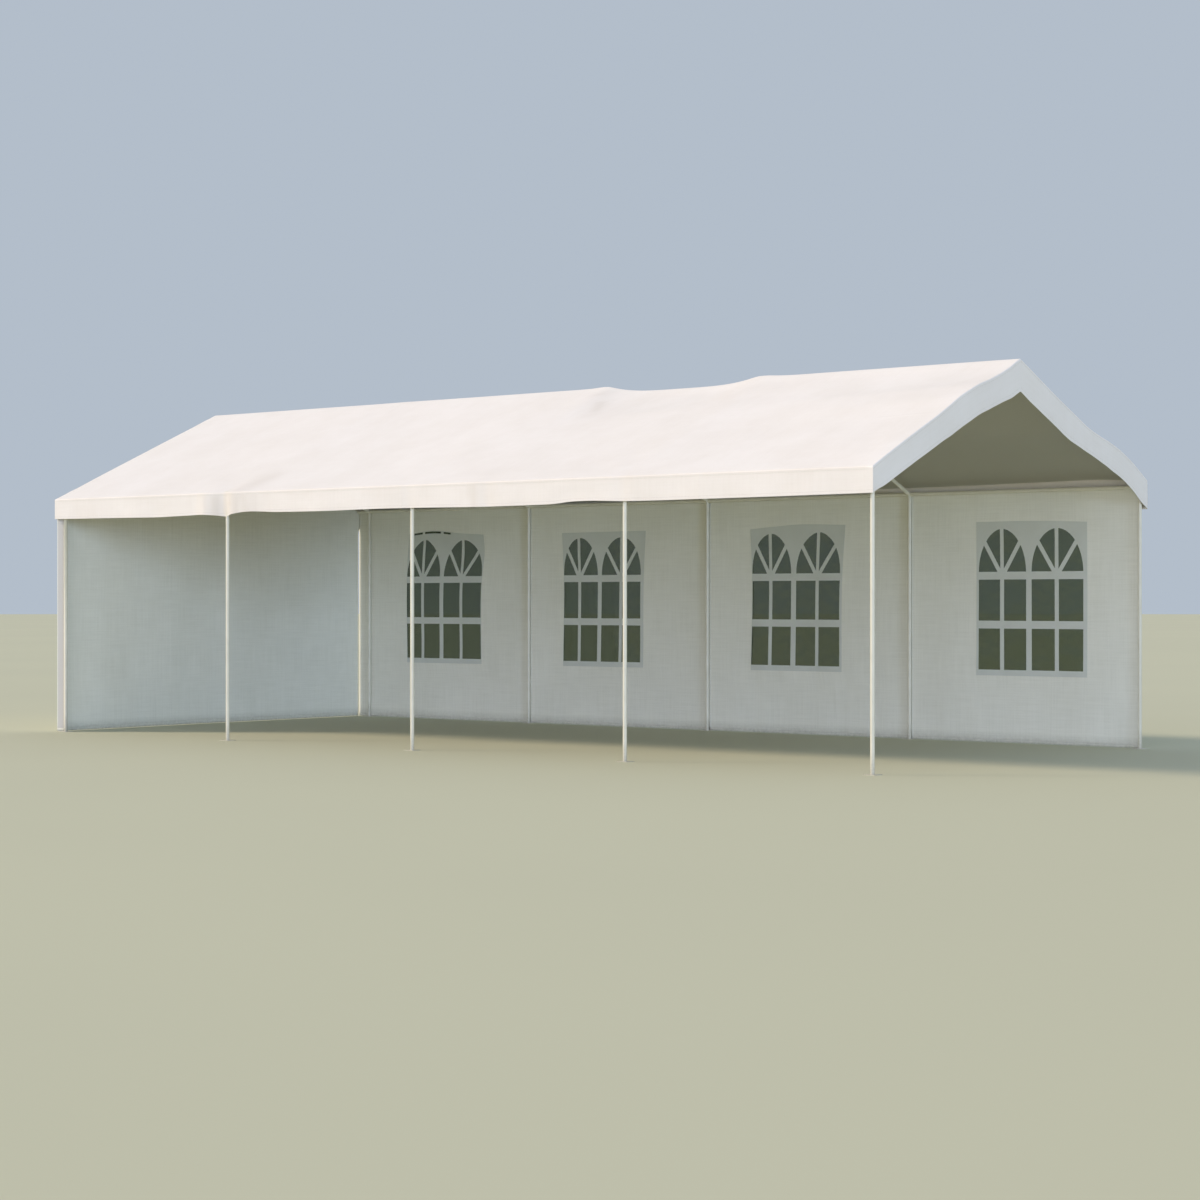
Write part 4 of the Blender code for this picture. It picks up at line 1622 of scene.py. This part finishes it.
@dataclass(kw_only=True)
class BackWall(HungWall):
    """One wall of the back side with its window: a sheet hung from the eave, gathered a little by its ties.

    Attributes:
        index: Which bay, from 0 at the closed end.
        left: The wall's left edge.
        right: The wall's right edge.
        high: The top edge's height.
        middle_y: Where the sheet hangs.
        window: The window's corners in X and Z.
        shape: How the window hangs.
        seam: Distance of the stitches from the wall's edge.
        lap: How far the window sheet laps over its opening.
        overlap: How far the wall reaches over its neighbour.
        held: Distance from its ends within which the wall hangs ever straighter.
        fine_step: Widest distance between two bends of its window.
        window_out: How far inside the wall's middle the window sheet lies.
        window_inset: How much smaller than its print the window sheet is, on each side.
        vinyl: Thickness of the window sheet.
        printed: Thickness of the sheet with its print on both faces.
        gather_wave: Puckers under the eave.
        star: Height of the slanting folds at the corners.
    """

    index: int
    left: float
    right: float
    high: float
    middle_y: float
    window: tuple[float, float, float, float]
    shape: WindowShape
    hem: float = 0.028
    seam: float = 0.024
    lap: float = 0.016
    overlap: float = 0.022
    held: float = 0.22
    step: float = 0.042
    fine_step: float = 0.025
    window_out: float = -1.7 * MM
    window_inset: float = 2.0 * MM
    vinyl: float = 0.6 * MM
    printed: float = 1.3 * MM
    slow_wave: Wave = Wave(0.010, 0.62, 1.3, 60.0)
    fold_wave: Wave = Wave(0.0042, 0.17, 1.5, 61.0)
    gather_wave: Wave = Wave(0.0016, 0.05, 0.6, 62.0)
    flutter_wave: Wave = Wave(0.009, 0.15, 0.8, 65.0)
    belly: float = 0.016
    star: float = 0.0034

    @property
    def end(self) -> float:
        """Where the sheet ends: a little over its neighbour, or behind the last post."""
        return min(self.right + self.overlap, self.form.skeleton.frame_x[-1] + 2.0 * MM)

    @classmethod
    def read(cls, index: int, form: RoofForm, shape: WindowShape) -> "BackWall":
        """Read a wall's edges and its window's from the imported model.

        Args:
            index: Which bay, from 0 at the closed end.
            form: The roof's form.
            shape: How its window hangs.

        Returns:
            The wall.
        """
        low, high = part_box(f"back_wall_{index + 1}")
        window_low, window_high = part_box(f"window_{index + 1}")
        return cls(
            index=index, form=form, left=low.x, right=high.x, high=high.z,
            middle_y=low.y + 1.2 * MM, shape=shape,
            window=(window_low.x, window_high.x, window_low.z, window_high.z))

    def sway(self, x: np.ndarray, z: np.ndarray) -> np.ndarray:
        """How far the sheet hangs out from its plane.

        Args:
            x: Place along the wall.
            z: Height.

        Returns:
            Distance outwards, almost 0 at the posts and the eave.
        """
        share = np.clip((x - self.left) / (self.right - self.left), 0.0, 1.0)
        down = np.clip((self.high - z) / (self.high - self.low), 0.0, 1.0)
        held = inside(x, self.left, self.right, self.held)
        lapped = 1.9 * MM * ease(x, self.right - 0.05, self.right)
        seed = 3.0 * self.index
        slow = self.slow_wave.over(x, z, seed) * ease(down, 0.0, 0.5)
        folds = self.fold_wave.over(x, z, seed) * (0.25 + 0.75 * down)
        gathers = self.gather_wave.over(x, z, seed) * np.exp(-down / 0.06)
        flutter = self.flutter_wave.over(x, z, seed) * ease(down, 0.8, 1.0)
        belly = self.belly * np.sin(math.pi * share) * np.sin(math.pi * down) ** 0.8
        return (slow + folds + flutter + belly + gathers + self.drags(x, z)) * held + lapped

    def drags(self, x: np.ndarray, z: np.ndarray) -> np.ndarray:
        """Slanting folds that the upper corners and the window's stiff corners pull.

        Args:
            x: Place along the wall.
            z: Height.

        Returns:
            Distance outwards.
        """
        x0, x1, z0, z1 = self.window
        total = 0.0 * x
        for number, (cx, cz, reach) in enumerate((
                (self.left, self.high, 0.45), (self.right, self.high, 0.45),
                (x0, z1, 0.22), (x1, z1, 0.22), (x0, z0, 0.25), (x1, z0, 0.25))):
            away = np.hypot(x - cx, z - cz)
            star = np.sin(4.0 * np.arctan2(z - cz, x - cx) + number + self.index)
            total = total + self.star * star * np.exp(-away / reach) * ease(away, 0.0, 0.25)
        return total

    def warp(self, x: np.ndarray, z: np.ndarray) -> tuple[np.ndarray, np.ndarray]:
        """Pull the window's edges out of true, with the cloth round them.

        Args:
            x: Flat place along the wall.
            z: Flat height.

        Returns:
            Where the place and height come to lie.
        """
        x0, x1, z0, z1 = self.window
        share = np.clip((x - x0) / (x1 - x0), 0.0, 1.0)
        heights, lefts, rights = zip(*self.shape.pulls)
        level = np.clip(z, z0, z1)
        left, right = (through(list(zip(heights, shifts)), level) for shifts in (lefts, rights))
        fade = np.exp(-(np.clip(z - z1, 0.0, None) + np.clip(z0 - z, 0.0, None)) / 0.12)
        room = ease(x, self.left, x0) * ease(-x, -self.right, -x1)
        reach = np.where(z < z1, 0.05, 0.13)
        wave = through(self.shape.crest, share) * np.exp(-((z - z1) / reach) ** 2)
        return x + ((1 - share) * left + share * right) * fade * room, z + wave * room

    def place(self, x: np.ndarray, z: np.ndarray, out: float = 0.0) -> np.ndarray:
        """Points of the wall, or of something that lies a little outside it."""
        moved_x, moved_z = self.warp(x, z)
        return stack(moved_x, self.middle_y + self.sway(x, z) + out, moved_z)

    def opening(self, x: np.ndarray, z: np.ndarray) -> np.ndarray:
        """True inside the hole that the window closes."""
        x0, x1, z0, z1 = self.window
        lap = self.lap
        return (x > x0 + lap) & (x < x1 - lap) & (z > z0 + lap) & (z < z1 - lap)

    def build(self, cloth: bpy.types.Material, thread: bpy.types.Material, clear: bpy.types.Material,
              white: bpy.types.Material) -> None:
        """Args:
            cloth: The wall's finish.
            thread: The stitches' finish.
            clear: The window sheet's finish.
            white: The print's finish.
        """
        number = self.index + 1
        x0, x1, z0, z1 = self.window
        lap = self.lap
        columns = stations(self.left, self.end, self.step, (x0, x0 + lap, x1 - lap, x1))
        rows = stations(self.low, self.high, self.step, (z0, z0 + lap, z1 - lap, z1))
        mesh = join("wall", [Patch(columns, rows, self.place, hole=self.opening)])
        wall = add_piece(f"wall_sheet_{number}", mesh, cloth, Slot.WALL, self.thickness)
        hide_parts(f"back_wall_{number}")
        hems = self.hems(cloth)
        stitches = Stitches(thread).sew(f"wall_stitches_{number}", [self.seam_line()], Slot.WALL)
        self.build_window(clear, white)

    def hems(self, cloth: bpy.types.Material) -> bpy.types.Object:
        """Doubled edges all round the wall, which lip over its own edge.

        Args:
            cloth: The wall's finish.

        Returns:
            The hems as one piece.
        """
        columns = stations(self.left, self.end, self.step)
        rows = stations(self.low, self.high, self.step)
        patches = [
            Patch(columns, np.array([self.low - LIP, self.low + self.hem]), self.place),
            Patch(columns, np.array([self.high - self.hem, self.high + LIP]), self.place),
            Patch(np.array([self.left - LIP, self.left + self.hem]), rows, self.place),
            Patch(np.array([self.end - self.hem, self.end + LIP]), rows, self.place)]
        mesh = join("hem", patches, sewn=False)
        return add_piece(f"wall_hem_{self.index + 1}", mesh, cloth, Slot.WALL, self.hem_thickness)

    def seam_line(self) -> np.ndarray:
        """Points of the stitched line inside the wall's edge, on its inner face."""
        xs = stations(self.left + self.seam, self.end - self.seam, self.step)
        zs = stations(self.low + self.seam, self.high - self.seam, self.step)
        x = np.concatenate([xs, np.full_like(zs, xs[-1]), xs[::-1], np.full_like(zs, xs[0])])
        z = np.concatenate([np.full_like(xs, zs[0]), zs, np.full_like(xs, zs[-1]), zs[::-1]])
        return self.place(x, z, -1.0 * MM)

    def build_window(self, clear: bpy.types.Material, white: bpy.types.Material) -> None:
        """Build the clear sheet on the wall's inner face, and the print that covers both its faces.

        Args:
            clear: The window sheet's finish.
            white: The print's finish.
        """
        number, edge = self.index + 1, self.window_inset
        x0, x1, z0, z1 = self.window
        patch = Patch(
            stations(x0 + edge, x1 - edge, self.fine_step), stations(z0 + edge, z1 - edge, self.fine_step),
            partial(self.place, out=self.window_out))
        sheet_mesh = join("sheet", [patch], sewn=False)
        sheet = add_piece(f"window_sheet_{number}", sheet_mesh, clear, Slot.WINDOW, self.vinyl)
        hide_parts(f"window_{number}")
        print_mesh = self.shape.glazing.flat_print(x1 - x0, z1 - z0, self.fine_step, self.printed)
        flat = np.zeros(len(print_mesh.vertices) * 3, np.float32)
        print_mesh.vertices.foreach_get("co", flat)
        flat = flat.reshape(-1, 3).astype(float)
        bent = self.place(flat[:, 0] + (x0 + x1) / 2, flat[:, 2] + z0, self.window_out)
        bent[:, 1] += flat[:, 1]
        print_mesh.vertices.foreach_set("co", bent.astype(np.float32).ravel())
        smooth(print_mesh, 50.0)
        printed = add_piece(f"window_print_{number}", print_mesh, white, Slot.WINDOW)


@dataclass(kw_only=True)
class EndWall(HungWall):
    """The plain wall across the closed end, which turns round the front corner post as a narrow return.

    Attributes:
        plane_x: Where the sheet hangs.
        front_y: Where its front corner stands.
        back_y: Its back edge.
        post: The corner post's axis in X and Y, which the return is tied to.
        turn: Radius of the corner.
        gap: How far the back edge hangs clear of the back corner, from its uppermost tie down.
        tie: Height of that tie.
        rise: Distance between two bends up the sheet, as a share of its height.
        wave_height: The height that a share is taken of for the waves.
        eave_height: The sheet's height at the eave, which the lower hem goes by.
        still: Shares of the height where the waves start to fade and have gone.
    """

    plane_x: float
    front_y: float
    back_y: float
    post: tuple[float, float]
    turn: float = 0.012
    gap: float = 0.018
    tie: float = 1.97
    hem: float = 0.03
    step: float = 0.045
    rise: float = 0.022
    wave_height: float = 2.6
    eave_height: float = 2.2
    slow_wave: Wave = Wave(0.014, 0.75, 1.7, 91.0)
    fold_wave: Wave = Wave(0.004, 0.2, 1.6, 92.0)
    flutter_wave: Wave = Wave(0.010, 0.16, 0.7, 93.0)
    belly: float = 0.012
    still: tuple[float, float] = (0.50, 0.68)

    @classmethod
    def read(cls, form: RoofForm) -> "EndWall":
        """Read the wall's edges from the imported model."""
        low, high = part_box("left_end_wall")
        return cls(
            form=form, plane_x=low.x + 2.0 * MM, front_y=low.y + 2.0 * MM, back_y=high.y,
            post=(form.skeleton.frame_x[0], -form.skeleton.half_width))

    @property
    def return_end(self) -> tuple[float, float]:
        """The return's free edge, beside the corner post and behind its outline as seen from the front."""
        clear = self.form.skeleton.tube_radius + 2.0 * MM
        return self.post[0] - 0.5 * clear, self.post[1] + 0.87 * clear

    @property
    def corner(self) -> tuple[float, float]:
        """The front corner, drawn in from a square one as the cover is."""
        return self.plane_x + self.form.left_skew, self.front_y

    @property
    def return_length(self) -> float:
        """Length of the return."""
        return math.dist(self.return_end, self.corner)

    @property
    def total(self) -> float:
        """Length of the whole sheet along the ground."""
        return self.return_length + self.back_y - self.front_y

    def plan(self, a: np.ndarray, out: np.ndarray) -> tuple[np.ndarray, np.ndarray]:
        """Where the sheet stands on the ground.

        Args:
            a: Length along the sheet, from the return's free edge.
            out: How far it hangs outwards there.

        Returns:
            The places in X and Y.
        """
        start = self.return_length
        end_x, end_y = self.return_end
        share = np.clip(a / start, None, 1.0)
        y = np.where(a < start, end_y + share * (self.front_y - end_y), self.front_y + a - start)
        along = self.plane_x + self.form.left_skew * np.clip(y / self.front_y, 0.0, 1.0)
        x = np.where(a < start, end_x + share * (self.corner[0] - end_x), along)
        return x - out, y

    def top(self, x: np.ndarray, y: np.ndarray) -> np.ndarray:
        """Height of the sheet's upper edge, just under the cover."""
        form, bones = self.form, self.form.skeleton
        under = bones.ridge_z + (bones.socket_radius + form.clearance) / bones.cos_pitch
        return under - 3.5 * MM - np.sqrt(y * y + 0.02 ** 2) * bones.tan_pitch

    def place(self, a: np.ndarray, share: np.ndarray) -> np.ndarray:
        """Points of the sheet at a length along it and a share of its height.

        Args:
            a: Length along the sheet, from the return's free edge.
            share: Share of the height.

        Returns:
            The points.
        """
        across = a - self.return_length
        width = self.back_y - self.front_y
        free = np.sin(math.pi * np.clip(across / width, 0.0, 1.0)) ** 0.6
        height = share * self.wave_height
        low_down = ease(-share, -self.still[1], -self.still[0])
        folds = self.slow_wave.over(a, height) + self.fold_wave.over(a, height)
        flutter = self.flutter_wave.over(a, height) * ease(-share, -0.2, 0.0)
        out = (folds + flutter + self.belly * np.sin(math.pi * share)) * free * low_down
        x, y = self.plan(a, out)
        z = self.low + share * (self.top(x, y) - self.low)
        clear = ease(a, self.total - 0.15, self.total) * ease(-z, -self.tie - 0.03, -self.tie + 0.03)
        return stack(x, y - self.gap * clear, z)

    def stub_end(self) -> float:
        """Where the stub of the first front post has to end, just inside the sheet."""
        at_post = np.array([self.return_length - self.front_y + self.post[1]])
        return float(self.plan(at_post, 0.0 * at_post)[0][0]) + 2.0 * MM

    def flat(self, a: np.ndarray, share: np.ndarray) -> np.ndarray:
        """The sheet's flat map."""
        x, y = self.plan(a, 0.0 * a)
        return np.stack([a, share * (self.top(x, y) - self.low)], -1)

    def build(self, cloth: bpy.types.Material) -> None:
        """Args:
            cloth: The wall's finish.
        """
        start = self.return_length
        columns = stations(0.0, self.total, self.step, (
            start - self.turn, start - self.turn / 3, start, start + self.turn / 3, start + self.turn))
        rows = stations(0.0, 1.0, self.rise)
        mesh = join("wall", [Patch(columns, rows, self.place, self.flat)], sewn=False)
        # Painted shade: the return round the front corner post is darker than the rest of the sheet
        lay_painted_shade(mesh, lambda places: ease(-places[:, 0], -start, 0.01 - start))
        wall = add_piece("end_wall_sheet", mesh, cloth, Slot.WALL, self.thickness)
        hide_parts("left_end_wall")
        patches = [
            Patch(columns, np.array([-LIP / 2, self.hem / self.eave_height]), self.place, self.flat),
            Patch(np.array([-LIP, self.hem]), rows, self.place, self.flat),
            Patch(np.array([self.total - self.hem, self.total + LIP]), rows, self.place, self.flat)]
        hem = add_piece(
            "end_wall_hem", join("hem", patches, sewn=False), cloth, Slot.WALL, self.hem_thickness)
        tops = self.flat(columns, np.ones_like(columns))[:, 1]
        self.total


def shorten_stub(steel: bpy.types.Material, end_x: float) -> None:
    """Put a post with a shorter stub in the first front post's place, where the cover's end is drawn in.

    Args:
        steel: The tubes' finish.
        end_x: Where the stub has to end.
    """
    tip_length = 10.0 * MM
    mesh = frame["nodes"]["front_post_1"].data.copy()
    bm = bmesh.new()
    bm.from_mesh(mesh)
    bmesh.ops.remove_doubles(bm, verts=bm.verts, dist=WELD)
    tip = min(vert.co.x for vert in bm.verts)
    for vert in bm.verts:
        if vert.co.x < tip + tip_length:
            vert.co.x += end_x - tip
    bm.to_mesh(mesh)
    bm.free()
    smooth(mesh, 30.0)
    post = add_piece(FIRST_POST, mesh, steel, Slot.STEEL)
    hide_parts("front_post_1")


# Frame finish and studio


@dataclass(frozen=True)
class Lamp:
    """One even light from far away.

    Attributes:
        name: The light's name.
        colour: Its colour.
        strength: Its strength in watts per square metre.
        direction: Where it comes from.
        softness: How wide it looks, in degrees.
    """

    name: str
    colour: str
    strength: float
    direction: tuple[float, float, float]
    softness: float

    def build(self) -> None:
        """Hang the light."""
        data = bpy.data.lights.new(self.name, "SUN")
        data.energy = self.strength
        data.color = linear(self.colour)[:3]
        data.angle = math.radians(self.softness)
        lamp = bpy.data.objects.new(self.name, data)
        lamp.rotation_mode = "QUATERNION"
        lamp.rotation_quaternion = Vector(self.direction).to_track_quat("Z", "Y")
        bpy.context.scene.collection.objects.link(lamp)


@dataclass(frozen=True)
class Studio:
    """A plain pale floor, a soft warm key light from the front left, a cool fill and a broad front light.

    Attributes:
        floor_colour: The floor's colour.
        floor_drift: What it drifts to from place to place.
        floor_roughness: Its roughness.
        floor_specular: How much it mirrors.
        floor_radius: How far it reaches.
        sky: The colour of the light from all round.
        sky_strength: Its strength.
        key: The main light.
        fill: The light on the gable end.
        front: The light on the inside of the walls.
        eye: Where the camera stands.
        heading: Its turn from +Y towards -X, in degrees.
        focal_px: Its focal length in pixels of the picture.
        picture_px: The picture's width in pixels.
        sensor_mm: The sensor's width.
        far: How far the camera sees.
    """

    floor_colour: str = "CACBB3"
    floor_drift: str = "C4C5AF"
    floor_roughness: float = 0.9
    floor_specular: float = 0.1
    floor_radius: float = 200.0
    sky: str = "C8D4E2"
    sky_strength: float = 0.78
    key: Lamp = Lamp("key", "FFE9CF", 2.14, (-0.66, -0.48, 0.58), 12.0)
    fill: Lamp = Lamp("fill", "C0D8FB", 0.85, (0.95, -0.30, 0.05), 10.0)
    front: Lamp = Lamp("front", "E9E8FF", 1.14, (0.2, -0.97, 0.06), 60.0)
    eye: tuple[float, float, float] = (14.26, -16.68, 1.234)
    heading: float = 39.7
    focal_px: float = 2480.0
    picture_px: float = 1200.0
    sensor_mm: float = 36.0
    far: float = 500.0

    def build(self) -> None:
        """Make the floor, the lights and the camera."""
        scene = bpy.context.scene
        bm = bmesh.new()
        bmesh.ops.create_circle(bm, cap_ends=True, segments=96, radius=self.floor_radius)
        mesh = bpy.data.meshes.new("floor")
        bm.to_mesh(mesh)
        bm.free()
        mesh.materials.append(self.floor_paint())
        floor = bpy.data.objects.new("floor", mesh)
        scene.collection.objects.link(floor)
        world = bpy.data.worlds.new("studio")
        world.use_nodes = True
        back = world.node_tree.nodes["Background"]
        feed(back, {"Color": linear(self.sky), "Strength": self.sky_strength})
        scene.world = world
        for lamp in (self.key, self.fill, self.front):
            lamp.build()
        eye = bpy.data.cameras.new("eye")
        eye.sensor_width = self.sensor_mm
        eye.lens = self.focal_px / self.picture_px * self.sensor_mm
        eye.clip_end = self.far
        camera = bpy.data.objects.new("eye", eye)
        camera.location = self.eye
        camera.rotation_euler = (math.radians(90.0), 0.0, math.radians(self.heading))
        scene.collection.objects.link(camera)
        scene.camera = camera
        scene.view_settings.view_transform = "Standard"

    def floor_paint(self) -> bpy.types.Material:
        """Matt pale paint with a faint drift in tone.

        Returns:
            The floor's material.
        """
        made, tree, shader = new_material("matt_floor_paint")
        place = add_node(tree, "ShaderNodeTexCoord").outputs["Object"]
        tone = add_node(tree, "ShaderNodeTexNoise", {"Vector": place, "Scale": 0.15, "Detail": 2.0})
        colour = add_node(
            tree, "ShaderNodeMix",
            {0: tone.outputs["Fac"], 6: linear(self.floor_colour), 7: linear(self.floor_drift)},
            data_type="RGBA")
        feed(shader, {
            "Base Color": colour.outputs[2], "Roughness": self.floor_roughness,
            "Specular IOR Level": self.floor_specular})
        return made


def paint_frame(steel: bpy.types.Material) -> None:
    """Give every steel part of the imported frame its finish.

    Args:
        steel: The finish.
    """
    names = [row["node"] for row in frame["record"]["subparts"] if row["material_slot"] == Slot.STEEL.value]
    for name in names:
        part = frame["nodes"][name]
        part.data.materials.clear()
        part.data.materials.append(steel)
    LOG.info("painted %d steel parts", len(names))


def main() -> None:
    """Build the marquee's looks in order."""
    logging.basicConfig(level=logging.INFO, format="%(name)s: %(message)s")
    Studio().build()
    steel = PowderCoat().material()
    # Both cloths carry painted shade: the cover on the faces that look down, in its folds and along its eave
    # bends, the wall on the end wall's return
    cover_cloth = WovenSheet(
        "coated_woven_polyethylene_cover", "F6F1EC", "ECE6DF", painted_underside_shade="B9B7AA", painted_shade="DBD3C9").material()
    wall_cloth = WovenSheet(
        "coated_woven_polyethylene_wall", "FAF9ED", "E6E5D7", splash_height=0.10, painted_shade="D2CEC8",
        clouds=0.42, streaks=0.45).material()
    clear, white = ClearVinyl().material(), PrintedVinyl().material()
    thread = SewingThread().material()
    paint_frame(steel)
    skeleton = Skeleton.read()
    form = RoofForm.read(skeleton)
    RoofCover(form, cover_cloth, thread).build()
    for index, shape in enumerate(WINDOW_SHAPES):
        BackWall.read(index, form, shape).build(wall_cloth, thread, clear, white)
    end_wall = EndWall.read(form)
    shorten_stub(steel, end_wall.stub_end())
    end_wall.build(wall_cloth)


if __name__ == "__main__":
    main()
